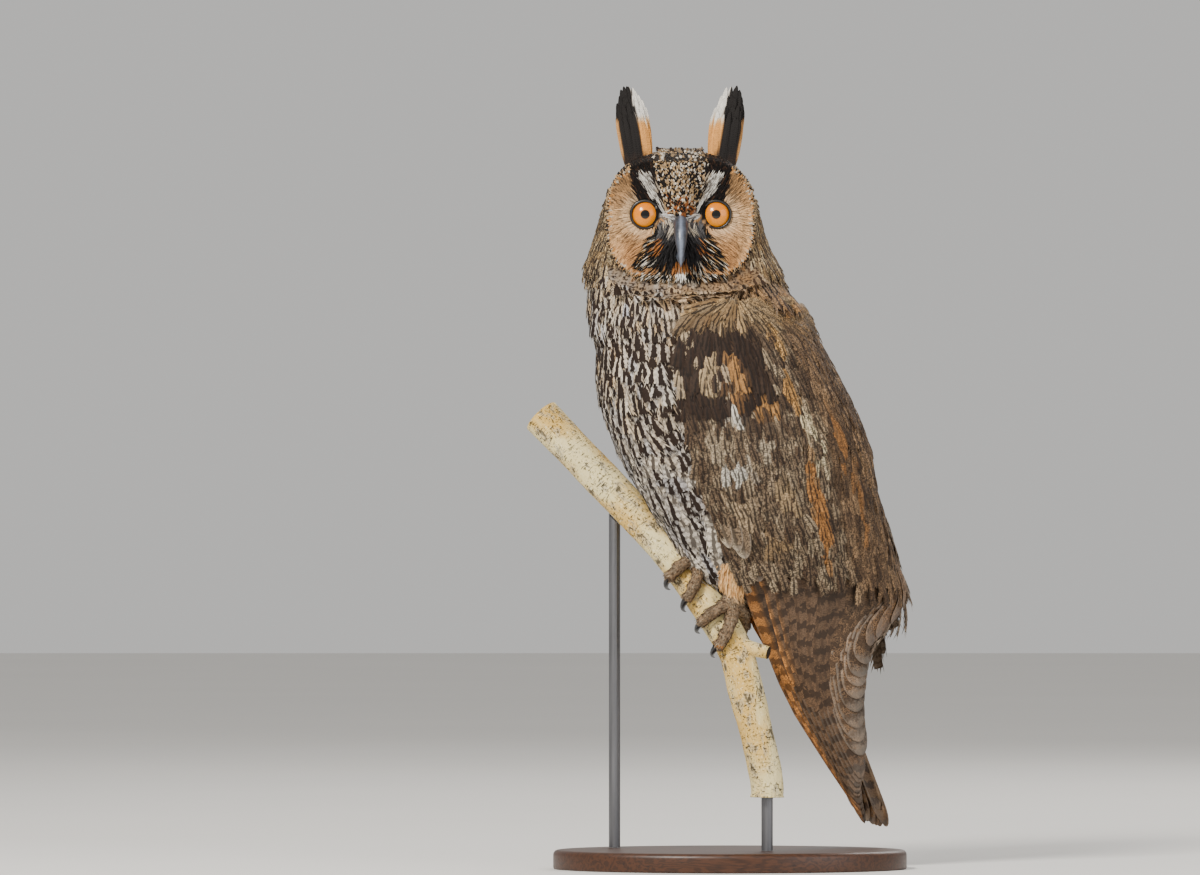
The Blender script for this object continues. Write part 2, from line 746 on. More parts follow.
def rod_paint():
    """Brushed dark steel of the rods."""
    paint = Paint("Rod steel", 0.35, Metallic=0.9)
    x, y, z = paint.split(paint.place())
    brushed = paint.noise(1.0, 3.0, paint.vector(x * 900.0, y * 900.0, z * 30.0))
    paint.set(Base_Color=paint.brighten((0.16, 0.16, 0.17), 0.7 + brushed * 0.6))
    paint.set(Roughness=0.28 + brushed * 0.25)
    paint.bump(brushed, 0.1, 0.0002)
    return paint


# Feathers laid one by one

# How far a shaft stands up and over what share of the width, and a vane's thickness, in mm
SHAFT_RISE, SHAFT_SHARE, VANE_THICKNESS = 0.22, 0.16, 0.26


def outline(share, round_from):
    """Half width of a feather along its length, which rounds off past a share."""
    start = np.clip(share / 0.14, 0, 1) ** 0.7 * 0.75 + 0.25
    tip = np.clip((share - round_from) / (1 - round_from), 0, 1)
    return start * np.sqrt(np.clip(1 - tip**2.2, 0.0006, 1))


def stations(round_from, count):
    """Shares along a feather that lie closer together towards its tip."""
    shaft = np.linspace(0, round_from, count // 2, endpoint=False)
    turn = np.linspace(0, math.pi / 2, count - count // 2)
    return np.concatenate([shaft, round_from + (1 - round_from) * np.sin(turn)])


class Plumes:
    """Gathers laid feathers, each a thin closed shell, into one mesh."""

    FIELDS = ("light", "dark", "marks", "sizes", "trim")

    def __init__(self, cells):
        self.points, self.faces, self.patches, self.total, self.laid = [], [], [], 0, 0
        self.fields = {name: [] for name in (*self.FIELDS, "across", "reach")}
        self.cells = cells

    def keep(self, points, faces, across, reach, look):
        count = len(points)
        self.faces += [tuple(i + self.total for i in face) for face in faces]
        self.points.append(points)
        for name in self.FIELDS:
            self.fields[name].append(np.broadcast_to(np.asarray(look[name], float), (count, 3)))
        self.fields["across"].append(across)
        self.fields["reach"].append(reach)
        row, column = divmod(self.laid, self.cells)
        u = (column + 0.5 + across * 0.42) / self.cells
        v = (row + 0.08 + reach * 0.84) / self.cells
        self.patches.append(np.stack([u, v], -1))
        self.total += count
        self.laid += 1

    def lay(self, places, normals, aside, width, look, round_from=0.75, tilt=0.0, bend=0.02, columns=9):
        """One feather along a path; aside points from its front web to its rear web."""
        shares = np.linspace(0, 1, len(places))
        rows = stations(round_from, 14)

        def at_rows(path):
            return np.stack([np.interp(rows, shares, path[:, i]) for i in range(3)], -1)

        places, normals, aside = at_rows(places), unit(at_rows(normals)), unit(at_rows(aside))
        ahead = unit(np.gradient(places, axis=0))
        aside, normals = level(aside, ahead), level(normals, ahead)
        a = np.linspace(-1, 1, columns)
        half = width / 2 * outline(rows, round_from)
        off = half[:, None] * a[None, :]
        ridge = SHAFT_RISE * np.exp(-((a / SHAFT_SHARE) ** 2)) * (1 - rows[:, None])
        rise = off * tilt - off**2 * bend + ridge
        top = places[:, None] + aside[:, None] * off[..., None] + normals[:, None] * rise[..., None]
        thick = VANE_THICKNESS * (1 - 0.75 * np.abs(a))[None, :, None]
        under = top - normals[:, None] * thick
        count, n = len(rows), columns
        points = np.concatenate([top.reshape(-1, 3), under.reshape(-1, 3)])
        upper = grid_faces(count, n)
        lower = [tuple(i + count * n for i in face[::-1]) for face in upper]
        rim = list(range(n)) + [r * n + n - 1 for r in range(1, count)]
        rim += [(count - 1) * n + i for i in range(n - 2, -1, -1)] + [r * n for r in range(count - 2, 0, -1)]
        edge = [(b, a, a + count * n, b + count * n) for a, b in zip(rim, rim[1:] + rim[:1])]
        faces = upper + lower + edge
        flat = np.cross(points[faces[0][1]] - points[faces[0][0]], points[faces[0][2]] - points[faces[0][0]])
        if flat @ normals[0] < 0:
            faces = [face[::-1] for face in faces]
        across = np.tile(np.broadcast_to(a, (count, n)).ravel(), 2)
        reach = np.tile(np.repeat(rows, n), 2)
        done = look(across, reach) if callable(look) else look
        self.keep(points, faces, across, reach, done)

    def add_body(self, grid, look):
        """A closed loft under the feathers, from rings of points."""
        rings, count = grid.shape[:2]
        points = grid.reshape(-1, 3)
        faces = grid_faces(rings, count, closed=True)
        faces += [tuple(range(count))[::-1], tuple(range((rings - 1) * count, rings * count))]
        self.keep(points, faces, np.zeros(len(points)), np.full(len(points), 0.5), look)

    def build(self, name, material):
        thing = new_piece(name, np.concatenate(self.points), self.faces)
        mesh = thing.data
        for key, values in self.fields.items():
            kind = "FLOAT_VECTOR" if key in self.FIELDS else "FLOAT"
            write_field(mesh, key, np.concatenate(values), kind)
        write_map(mesh, np.concatenate(self.patches))
        material.finish(thing)
        return thing


def look_of(light, dark, marks, long, wide, chance, trim):
    """What a feather's material reads, from screen colours."""
    return {
        "light": shade(light),
        "dark": shade(dark),
        "marks": marks,
        "sizes": (long, wide, chance),
        "trim": trim,
    }


def barb_look(colour, dim, fleck):
    """What barbs of one colour each read: no streak, no bars and a few flecks."""
    marks, trim = (np.tile([0.0, 0.0, last], (len(colour), 1)) for last in (fleck, 3.0))
    return {"light": colour, "dark": colour * dim, "marks": marks, "trim": trim}


# Feathers strewn in thousands

# Width of one small feather's patch on the baking map
PATCH_SIZE = 0.003


def soft_feather(name, seed):
    """A small body feather of unit length and width: a leaf with loose barbs round its edge."""
    rng = np.random.default_rng(seed)
    points, faces = [], []

    def strip(line, widths, aside):
        start = len(points)
        for place, wide in zip(line[:-1], widths):
            points.extend([place - aside * wide, place + aside * wide])
        points.append(line[-1])
        last = len(line) - 1
        for i in range(last - 1):
            a = start + 2 * i
            faces.append((a, a + 1, a + 3, a + 2))
        faces.append((start + 2 * last - 2, start + 2 * last - 1, start + 2 * last))

    rows = np.array([0.0, 0.22, 0.5, 0.74, 0.9])
    for r in rows:
        half = 0.34 * math.sin(math.pi * min(r * 0.62 + 0.12, 0.98)) ** 0.8
        for a in (-1, 0, 1):
            points.append(np.array([a * half, r, 0.0]))
    faces += [tuple(face) for face in grid_faces(len(rows), 3)]
    for i in range(10):
        side = 1 if i % 2 else -1
        share = 0.28 + 0.62 * (i // 2) / 4
        begin = np.array([side * 0.1, share - 0.12, 0.0])
        out = 0.5 - 0.34 * (share > 0.75) * (share - 0.5)
        end = np.array([side * (out - 0.26 * (share > 0.8)), min(share + 0.26, 1.02), 0.0])
        end += np.array([*rng.uniform(-0.05, 0.05, 2), 0.0])
        line = [begin, begin * 0.5 + end * 0.5 + np.array([side * 0.03, -0.02, 0.0]), end]
        strip(line, (0.075, 0.05), np.array([1.0, 0.0, 0.0]))
    points = np.array(points)
    points[:, 2] = 0.02 + 0.16 * points[:, 1] * (1 - points[:, 1]) - 0.30 * points[:, 0] ** 2
    points[:, 2] -= 0.05 * points[:, 1] ** 2
    thing = new_piece(name, points / MM, faces)
    write_field(thing.data, "across", points[:, 0] * 2, "FLOAT")
    write_field(thing.data, "reach", points[:, 1], "FLOAT")
    return thing


def single_barb(name, bow, point):
    """One fine barb of unit length and width that bows away from the skin."""
    points, faces = [], []
    for share in (0.0, 0.3, 0.6, 0.85):
        half = 0.5 * (1 - share**point) * (0.7 + 0.6 * share)
        rise = bow * share * (1 - 0.6 * share)
        points += [(-half, share, rise), (half, share, rise)]
    points.append((0.0, 1.0, bow * 0.4))
    faces = [(0, 1, 3, 2), (2, 3, 5, 4), (4, 5, 7, 6), (6, 7, 8)]
    points = np.array(points)
    thing = new_piece(name, points / MM, faces)
    write_field(thing.data, "across", points[:, 0] * 2, "FLOAT")
    write_field(thing.data, "reach", points[:, 1], "FLOAT")
    return thing


def scatter_tree():
    """Sets a feather at each root, turned and sized by what the root carries."""
    tree = bpy.data.node_groups.new("Strewn feathers", "GeometryNodeTree")
    made = {}
    for name, kind, default in (
        ("Roots", "Geometry", None),
        ("Feathers", "Collection", None),
        ("Length", "Float", 1.0),
        ("Width", "Float", 1.0),
        ("Unevenness", "Float", 0.15),
        ("Seed", "Int", 1),
        ("Finish", "Material", None),
    ):
        socket = tree.interface.new_socket(name=name, in_out="INPUT", socket_type="NodeSocket" + kind)
        if default is not None:
            socket.default_value = default
        made[name] = socket.identifier
    tree.interface.new_socket(name="Coat", in_out="OUTPUT", socket_type="NodeSocketGeometry")

    def live(sockets, name):
        """The socket of a name that is in use, where several share it."""
        return next((s for s in sockets if s.name == name and s.enabled), None) or sockets[name]

    def add(kind, feeds=(), **settings):
        """A node: its settings first, then the links or values of its sockets."""
        node = tree.nodes.new(kind)
        for key, value in settings.items():
            setattr(node, key, value)
        for name, value in feeds:
            if isinstance(value, bpy.types.NodeSocket):
                tree.links.new(value, live(node.inputs, name))
            else:
                live(node.inputs, name).default_value = value
        return node

    def carried(name, kind):
        node = add("GeometryNodeInputNamedAttribute", [("Name", name)], data_type=kind)
        return live(node.outputs, "Attribute")

    given = add("NodeGroupInput").outputs
    shapes = add(
        "GeometryNodeCollectionInfo",
        [("Separate Children", True), ("Reset Children", True), ("Collection", given["Feathers"])],
    )
    turned = add("FunctionNodeEulerToRotation", [(0, carried("turn", "FLOAT_VECTOR"))])
    ends = [
        (end, add("ShaderNodeMath", [(0, 1.0), (1, given["Unevenness"])], operation=how).outputs[0])
        for end, how in (("Min", "SUBTRACT"), ("Max", "ADD"))
    ]
    chance = add("FunctionNodeRandomValue", [*ends, ("Seed", given["Seed"])], data_type="FLOAT")
    drawn = live(chance.outputs, "Value")
    long = add("ShaderNodeMath", [(0, drawn), (1, given["Length"])], operation="MULTIPLY").outputs[0]
    scale = add("ShaderNodeCombineXYZ", [(0, given["Width"]), (1, long), (2, long)])
    sizes = [(0, carried("size", "FLOAT_VECTOR")), (1, scale.outputs[0])]
    sized = add("ShaderNodeVectorMath", sizes, operation="MULTIPLY")
    strewn = add(
        "GeometryNodeInstanceOnPoints",
        [
            ("Points", given["Roots"]),
            ("Instance", shapes.outputs[0]),
            ("Pick Instance", True),
            ("Instance Index", carried("kind", "INT")),
            ("Rotation", turned.outputs[0]),
            ("Scale", sized.outputs[0]),
        ],
    )
    real = add("GeometryNodeRealizeInstances", [(0, strewn.outputs[0])])
    done = add("GeometryNodeSetMaterial", [("Geometry", real.outputs[0]), ("Material", given["Finish"])])
    add("NodeGroupOutput", [(0, done.outputs[0])])
    return tree, made


def strew(
    name, slot, shapes, finish, at, normals, lie, size, look, patch, rng, lift=0.14, roll=0.16, kinds=3
):
    """One coat piece, with a small feather at each root.

    size holds each feather's width, length and thickness in mm, and patch its root's
    place on the baking map.
    """
    choice, count = settings(), len(at)
    ahead = level(lie, normals)
    side = np.cross(ahead, normals)
    ahead = unit(ahead + side * rng.normal(0, roll, (count, 1)))
    ahead = unit(ahead + normals * (lift + rng.normal(0, 0.04, (count, 1))))
    up = level(normals, ahead)
    across = np.cross(ahead, up)
    pitch, lean = np.arctan2(ahead[:, 2], up[:, 2]), -np.arcsin(np.clip(across[:, 2], -1, 1))
    chance = rng.uniform(0, 1, count)
    fields = {
        "turn": np.stack([pitch, lean, np.arctan2(across[:, 1], across[:, 0])], -1),
        "size": size * MM,
        "patch": np.concatenate([patch, np.zeros((count, 1))], -1),
        "light": shade(look["light"]),
        "dark": shade(look["dark"]),
        "marks": look["marks"],
        "sizes": np.stack([size[:, 1], size[:, 0], chance], -1),
        "trim": look["trim"],
    }
    coat = new_piece(name, at, [])
    for key, values in fields.items():
        write_field(coat.data, key, values)
    write_field(coat.data, "kind", rng.integers(0, kinds, count), "INT")
    tree, made = scatter_tree()
    step = coat.modifiers.new("Strewn feathers", "NODES")
    step.node_group = tree
    step[made["Feathers"]] = shapes
    step[made["Length"]] = choice.feather_length
    step[made["Width"]] = choice.feather_width
    step[made["Seed"]] = choice.seed
    step[made["Finish"]] = finish.material
    settle(coat)
    mesh = coat.data
    root = read_field(mesh, "patch")
    across, reach = (read_field(mesh, key, 1) for key in ("across", "reach"))
    u, v = root[:, 0] + across * PATCH_SIZE / 2, root[:, 1] + (reach - 0.5) * PATCH_SIZE
    write_map(mesh, np.stack([u, v], -1))
    for key in ("turn", "size", "kind", "patch"):
        if key in mesh.attributes:
            mesh.attributes.remove(mesh.attributes[key])
    mesh.shade_smooth()
    part_of_owl(coat, slot)


def template_set(name, things):
    """A collection of feather shapes that a coat picks from."""
    group = bpy.data.collections.new(name)
    for thing in things:
        bpy.context.scene.collection.objects.unlink(thing)
        group.objects.link(thing)
    return group


def clear_templates(group):
    for thing in list(group.objects):
        drop(thing)
    bpy.data.collections.remove(group)


# Where the coat's colours lie


def pick(chance, *choices):
    """One of several colours for each chance number; each choice is a share and a colour."""
    colours = np.zeros((len(chance), 3))
    gone = 0.0
    for share, colour in choices:
        chosen = (chance >= gone) & (chance <= gone + share + 1e-9)
        colours[chosen] = colour
        gone += share
    return colours


def face_paint(x, z, rng):
    """Screen colours of the face, barb by barb, at places in mm from its middle."""
    chance, other = rng.uniform(0, 1, len(x)), rng.uniform(0, 1, len(x))
    side = np.abs(x) + (other - 0.5) * 0.9
    up = z + (chance - 0.5) * 1.4
    from_eye = np.hypot(np.abs(x) - EYE_SPREAD, z)
    rim = ((np.abs(x) / DISC_HALF_WIDTH) ** 3 + (np.abs(z + DISC_DROP) / DISC_HALF_HEIGHT) ** 3) ** (1 / 3)

    low, middle, high = (206, 158, 110), (198, 160, 118), (158, 126, 90)
    colour = blend(blend(low, middle, step_between(-24, -4, z)), high, step_between(2, 20, z))
    pale_ring = step_between(8, 9.5, from_eye) * (1 - step_between(10, 15, from_eye))
    colour = blend(colour, (228, 216, 200), 0.32 * pale_ring * step_between(14, 19, side))
    colour = blend(colour, (226, 194, 152), 0.4 * step_between(24, 34, side) * (z < 4))
    streaky = (chance < 0.12 + 0.16 * step_between(0, 18, z)) & (from_eye > 10)
    colour[streaky] = colour[streaky] * 0.72
    frayed = rim + (chance - 0.5) * 0.05
    colour = np.where((frayed > 0.975)[:, None], pick(other, (0.45, (214, 204, 188)), (0.55, TAWNY)), colour)
    colour = np.where((frayed > 1.005)[:, None], pick(other, (0.5, DARK), (0.5, (176, 152, 120))), colour)

    def put(where, painted):
        nonlocal colour
        colour = np.where(where[:, None], painted, colour)

    climb = np.clip((up - 1) / 18.5, 0, 1)
    brow_in, brow_out = 9.6 + 5.4 * climb, 11.6 + 10.6 * climb**1.2
    crown_out = np.interp(z, (-2, 0, 5, 11, 27, 40), (3.5, 7.2, 9.4, 11.2, 14.2, 15.2))
    wedge_out = np.interp(z, (5, 19, 29, 34), (22.0, 25.6, 27.6, 27))
    wedge = (up > 5.5) & (side > np.where(up > 19, crown_out - 0.5, brow_out)) & (side < wedge_out)
    put(wedge & (up < 33), pick(chance, (0.82, (30, 21, 17)), (0.18, (78, 56, 40))))
    brow = (up > 0.5) & (up < 20) & (side > brow_in) & (side < brow_out)
    put(brow, pick(chance, (0.66, (214, 210, 202)), (0.34, (136, 130, 124))))
    gap = (up > 0.5) & (up < 20) & (side <= brow_in) & (side > crown_out - 0.8)
    put(gap, pick(chance, (0.6, (52, 42, 34)), (0.4, (176, 164, 148))))

    crown = (side <= crown_out) & (up > -1.6)
    flecks = pick(chance, (0.5, (34, 27, 22)), (0.32, (176, 150, 116)), (0.18, (214, 204, 190)))
    rusty = ((side < 7.5) & (up < 9) & (other < 0.5) & (chance > 0.5))[:, None]
    put(crown, np.where(rusty, np.array((158, 104, 60)), flecks))
    bridge = (side < 11) & (np.abs(up - (-3.0 + 0.036 * side**2)) < 1.5)
    put(bridge, pick(chance, (0.7, (196, 194, 192)), (0.3, (120, 116, 114))))

    mask = (side < 12.4 - 0.02 * (up + 14) ** 2) & (up < -4) & (up > -27.5)
    grey = blend((112, 110, 110), (50, 48, 50), step_between(-6, -20, up) * 0.9 + 0.1 * other)
    put(mask, np.where((chance < 0.28)[:, None], grey * 0.45, grey))
    flank = (side > 2.6) & (side < 7.6) & (up > -11) & (up < -3.6)
    put(flank, pick(chance, (0.55, (204, 192, 174)), (0.45, (96, 92, 92))))

    whisker = (up < -8 + 0.2 * (side - 12)) & (up > -28.5) & (side > 9.5) & (side < 23.5)
    whisker &= side < 14 + 0.6 * (-8 - up)
    whisker &= ~mask
    put(whisker, pick(chance, (0.8, (20, 15, 13)), (0.1, (226, 218, 204)), (0.1, (196, 158, 108))))
    spot = (side > 9) & (side < 15.5) & (up > -20.5) & (up < -13) & (other < 0.3)
    put(spot, np.broadcast_to((206, 138, 70), colour.shape))

    chin = (up < -27.2 - 0.012 * side**2 + 0.1 * np.maximum(side - 12, 0)) & (side < 33)
    put(chin, pick(chance, (0.6, (26, 21, 18)), (0.24, (220, 212, 198)), (0.16, (180, 152, 116))))
    put((side < 4.5) & (up < -26) & (up > -31) & (other < 0.5), np.broadcast_to((210, 146, 84), colour.shape))
    put((side < 2.2) & (up < -30.5), pick(chance, (0.85, (238, 234, 226)), (0.15, (120, 110, 100))))

    outer = step_between(0, 6, np.abs(x) - EYE_SPREAD + 3) * 0.9 + step_between(0, 8, z) * 0.5
    put(from_eye < 8.0 + outer, np.broadcast_to((20, 15, 13), colour.shape))
    return np.clip(colour * (0.9 + 0.2 * other)[:, None], 0, 255)


def coat_look(points, rng):
    """Colours and marks of body, nape and crown feathers by where they grow."""
    count = len(points)
    chance, other = rng.uniform(0, 1, count), rng.uniform(0, 1, count)
    angle, tall = np.abs(body_angle(points)), points[:, 2]
    breast = 1 - step_between(34, 62, angle)
    back = step_between(88, 120, angle)
    head = step_between(304, 318, tall)
    flank = np.clip(1 - breast - back, 0, 1)
    upper = step_between(215, 270, tall)

    pale = blend(WHITE, (188, 190, 198), chance)
    light = blend(pale, BUFF, (0.12 + 0.4 * upper) * other + 0.1)
    light = blend(light, blend(ORANGE, CREAM, chance), flank * 0.8 * (1 - 0.6 * upper))
    light = blend(light, blend(TAWNY, GREY, chance * 0.6), back * (1 - head) * 0.8)
    light = blend(light, blend(BUFF, CREAM, chance), head * 0.85) * (1 - 0.34 * head * other)[:, None]
    vent = 1 - step_between(140, 156, tall)
    light = blend(light, blend(CREAM, ORANGE, chance * 0.6), vent * 0.9)
    dark = blend(blend(DARK, BROWN, other * (0.7 - 0.5 * breast)), BROWN, vent * 0.5)
    streak = (1 - 0.75 * vent) * (0.75 + 0.25 * (chance > 0.3))
    streak = streak * (1 + (1.4 * upper * other + 0.16) * breast * (1 - head)) * (1 + 0.5 * head * chance)
    barred = (0.6 - 0.3 * upper) * breast * (1 - head) * (1 - vent)
    fleck = 0.2 * breast + 0.75 * back * (1 - head) + 0.35 * flank + 0.6 * head
    edge = 0.55 * breast + 0.35 * flank + 0.25 * back
    marks = np.stack([streak, barred, fleck * (1 - vent)], -1)
    trim = np.stack([edge, 0.0 * edge, 3.0 + 1.2 * other], -1)

    # The speckled top of the head, between and behind the tufts
    crown = step_between(352, 364, tall)[:, None]
    flecks = pick(chance, (0.48, (42, 33, 27)), (0.34, (180, 154, 120)), (0.18, (214, 202, 184)))
    light = light * (1 - crown) + flecks * crown
    return {"light": light, "dark": dark, "marks": marks, "trim": trim}


def skin_paint(points, rng):
    """Screen colours of the skin, much as those of the coat above it."""
    look = coat_look(points, rng)
    light, dark = blend(look["light"], look["dark"], 0.35), look["dark"]
    x, z = points[:, 0] - FACE_MIDDLE[0], points[:, 2] - FACE_MIDDLE[2]
    rim = face_depth(x, z)[1]
    on_face = ((points[:, 1] < -20) & (rim < 1.04) & (points[:, 2] > 300))[:, None]
    face = face_paint(x, z, rng)
    return np.where(on_face, face, light), np.where(on_face, face * 0.6, dark)


SKIN_FOOT = 126.5


def coat_surface(sink_body, sink_head, sink_face, step=1.6, columns=168):
    """The trunk and head as one surface, sunk under where the coat's tips end."""
    straight = np.arange(SKIN_FOOT, 364, step)
    curved = 375.3 - 11.3 * np.cos(np.linspace(0, math.pi / 2, 14)) ** 1.6
    grid = trunk_grid(np.concatenate([straight, curved[:-1]]), columns)
    normals = Surface(grid).normals
    share = step_between(292, 318, grid[..., 2])
    rim = face_depth(grid[..., 0] - FACE_MIDDLE[0], grid[..., 2] - FACE_MIDDLE[2])[1]
    face = (1 - step_between(0.96, 1.1, rim)) * (grid[..., 1] < -8) * (grid[..., 2] > 300)
    sink = sink_body * (1 - share) + sink_head * share
    sink = sink * (1 - face) + sink_face * face
    return Surface(grid - normals * sink[..., None])


# The branch, toes and legs


def perch_frame(distance):
    """Middle, direction and radius of the branch, a distance from its upper end."""
    gone = 0.0
    for a, b in zip(PERCH_LINE, PERCH_LINE[1:]):
        start, end = np.array(a[:3]), np.array(b[:3])
        long = float(np.linalg.norm(end - start))
        if gone + long >= distance:
            share = (distance - gone) / long
            return start + (end - start) * share, unit(end - start), a[3] + (b[3] - a[3]) * share
        gone += long
    return end, unit(end - start), b[3]


def toe_point(along, angle, reach):
    """A place round the branch, turned from its top towards the owl's front."""
    middle, ahead, radius = perch_frame(along)
    top = unit(np.array([0, 0, 1.0]) - ahead * ahead[2])
    fore = unit(FORWARD - ahead * (FORWARD @ ahead))
    fore = unit(fore - top * (fore @ top))
    turn = math.radians(angle)
    return middle + (top * math.cos(turn) + fore * math.sin(turn)) * (radius + reach)


def ball_of(name, centre, radius, wide=24, tall=16):
    """A round body round a centre, with small caps at its poles."""
    turn = np.linspace(0, math.pi, tall + 1)[1:-1]
    line = [np.asarray(centre) + np.array([0, 0, -math.cos(t) * radius]) for t in turn]
    sizes = [math.sin(t) * radius for t in turn]
    return tube(name, line, sizes, sizes, (1, 0, 0), wide, ("round", "round"))


def leg_parts(name, side):
    """Leg, palm and toes of one side, to be joined to the skin."""
    start = FOOT_AT[name]
    palm_at = toe_point(start, *PALM)
    ahead = perch_frame(start)[1]
    parts = [ball_of("palm", palm_at, 5.9)]
    for _, shift, last in TOES:
        line, sizes = [], []
        for i in range(17):
            share = i / 16
            along = start + shift * math.sin(share * math.pi / 2)
            pads = 0.28 * math.cos(share * math.pi * 6)
            size = 3.7 - 0.8 * share + pads
            line.append(toe_point(along, last * share, size + 0.25))
            sizes.append(size)
        parts.append(tube("toe", line, sizes, sizes, ahead, 14, ("round", "round")))
    hip = in_body(30, side * 16, palm_at[2] + 30)
    line = [hip + (palm_at - hip) * share for share in np.linspace(0, 0.95, 9)]
    sizes = np.interp(np.linspace(0, 0.95, 9), (0, 0.3, 0.6, 0.85, 0.95), (8.0, 8.6, 6.8, 5.0, 4.6))
    parts.append(tube("leg", line, sizes, sizes, LEFT, 20, ("round", "round")))
    return parts


def face_samples(mesh, wanted, spacing, rng):
    """Evenly strewn places on a mesh's faces where wanted says so, with their normals."""
    mesh.calc_loop_triangles()
    corners = np.zeros(len(mesh.loop_triangles) * 3, np.int32)
    mesh.loop_triangles.foreach_get("vertices", corners)
    corners = mesh_points(mesh)[corners.reshape(-1, 3)].astype(float)
    keep = wanted(corners.mean(1))
    corners = corners[keep]
    cross = np.cross(corners[:, 1] - corners[:, 0], corners[:, 2] - corners[:, 0])
    area = np.linalg.norm(cross, axis=1) / 2
    count = int(area.sum() / spacing**2)
    chosen = rng.choice(len(area), count, p=area / area.sum())
    a, b = rng.uniform(0, 1, (2, count, 1))
    fold = a + b > 1
    a, b = np.where(fold, 1 - a, a), np.where(fold, 1 - b, b)
    tri = corners[chosen]
    return tri[:, 0] * (1 - a - b) + tri[:, 1] * a + tri[:, 2] * b, unit(cross)[chosen]


def palm_places():
    return [toe_point(start, *PALM) for start in FOOT_AT.values()]


def foot_distance(points):
    """How far points lie from the nearer palm."""
    return np.min([np.linalg.norm(points - palm, axis=-1) for palm in palm_places()], 0)


def perch_distance(points):
    """How far points lie from the branch's middle line."""
    line = smooth_rows(PERCH_LINE, 6)[:, :3]
    return np.min(np.linalg.norm(points[:, None] - line[None], axis=-1), 1)


# Operators


def part_of_owl(thing, slot, *nodes):
    """Every piece rides on the one body and stands for the solids that it covers.

    A piece that would share a solid's name gets one of its own.
    """
    base, taken, _ = thing.name.partition(".")
    if taken:
        thing.name = thing.data.name = base + "_look"
    if nodes:
        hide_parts(*nodes)
    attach(thing, "root")
    return thing


# What a length in the settings says of itself
LENGTH = {"subtype": "DISTANCE", "unit": "LENGTH"}


def amount(name, description, default, least, **more):
    """A number that a user can set."""
    return FloatProperty(name=name, description=description, default=default, min=least, **more)


class OwlSettings(bpy.types.PropertyGroup):
    """Sizes and colours of the owl that a user would change."""

    seed: IntProperty(name="Seed", description="Chooses how the feathers fall", default=7, min=1)
    feather_length: amount("Feather length", "Length of the small feathers against their own", 1.0, 0.5)
    feather_width: amount("Feather width", "Width of the small feathers against their own", 1.0, 0.5)
    coat_gap: amount("Coat spacing", "Between the roots of the breast's feathers", 0.0038, 0.002, **LENGTH)
    head_gap: amount("Head spacing", "Between the roots of the head's feathers", 0.0018, 0.001, **LENGTH)
    barb_gap: amount("Face spacing", "Between the fine barbs of the face", 0.0007, 0.0004, **LENGTH)
    iris: FloatVectorProperty(
        name="Iris", description="Colour of the upper iris", default=(0.64, 0.17, 0.001), subtype="COLOR"
    )
    floor_half: amount("Floor", "Half the floor's width", 6.0, 1.0, **LENGTH)


def settings():
    return bpy.context.scene.owl


class SkinPiece(bpy.types.Operator):
    """One skin over head, body, legs and toes, under all of the coat"""

    bl_idname = "owl.skin"
    bl_label = "Skin"

    def execute(self, context):
        rng = np.random.default_rng(settings().seed)
        surface = coat_surface(5.0, 2.4, 1.5, step=2.4, columns=120)
        grid = surface.points
        rows, count = grid.shape[:2]
        points = np.concatenate([grid.reshape(-1, 3), [grid[0].mean(0)], [np.array(CROWN) - (0, 0, 2.4)]])
        faces = grid_faces(rows, count, closed=True)
        faces += [((i + 1) % count, i, rows * count) for i in range(count)]
        top = (rows - 1) * count
        faces += [(top + i, top + (i + 1) % count, rows * count + 1) for i in range(count)]
        skin = new_piece("skin", points, faces)
        face_outwards(skin)
        join_bodies(skin, leg_parts("left", 1) + leg_parts("right", -1))
        mesh = skin.data
        places = mesh_points(mesh).astype(float)
        light, dark = skin_paint(places, rng)
        toe = (perch_distance(places) < 19.5) & (foot_distance(places) < 26)
        leg = (foot_distance(places) < 30) & ~toe & (places[:, 2] < 172)
        bare = ((leg, (206, 154, 98), (150, 104, 62)), (toe, (150, 128, 104), (98, 80, 64)))
        for where, pale, deep in bare:
            light = np.where(where[:, None], np.array(pale), light)
            dark = np.where(where[:, None], np.array(deep), dark)
        write_field(mesh, "light", shade(light))
        write_field(mesh, "dark", shade(dark))
        mesh.shade_smooth()
        flesh_paint("Skin").finish(skin)
        nodes = ["head", "neck", "torso", "leg_left", "leg_right", "foot_left", "foot_right"]
        part_of_owl(skin, "body_feathers", *nodes)
        return {"FINISHED"}


def strew_rows(surface, low, high, gap_at, rng, keep):
    """Rows of roots over the trunk between two heights, in a staggered lay."""
    rows = surface.rows
    ring_gap = np.median(np.linalg.norm(np.diff(surface.points, axis=0), axis=-1), axis=1)
    gone = np.concatenate([[0], np.cumsum(ring_gap)])
    heights = surface.points[:, 0, 2]
    start, end = np.interp([low, high], heights, gone)
    at, line = start, 0
    picked_rows, picked_columns = [], []
    while at < end:
        row = float(np.interp(at, gone, np.arange(rows)))
        gap = gap_at(float(np.interp(row, np.arange(rows), heights)))
        columns = surface.ring_places(row, gap, 0.5 * (line % 2), rng, 0.3)
        around = rng.uniform(-0.3, 0.3, len(columns)) * gap
        picked_rows.append(np.interp(at + around, gone, np.arange(rows)))
        picked_columns.append(columns)
        at += gap * 1.15
        line += 1
    row, column = np.concatenate(picked_rows), np.concatenate(picked_columns)
    points = surface.take(surface.points, row, column)
    wanted = keep(points)
    row, column, points = row[wanted], column[wanted], points[wanted]
    normals = unit(surface.take(surface.normals, row, column))
    down = unit(surface.take(surface.down, row, column))
    across = np.interp(row, np.arange(rows), gone) / gone[-1]
    patch = np.stack([column / surface.columns % 1, across], -1) * 0.98 + 0.01
    return points, normals, down, patch


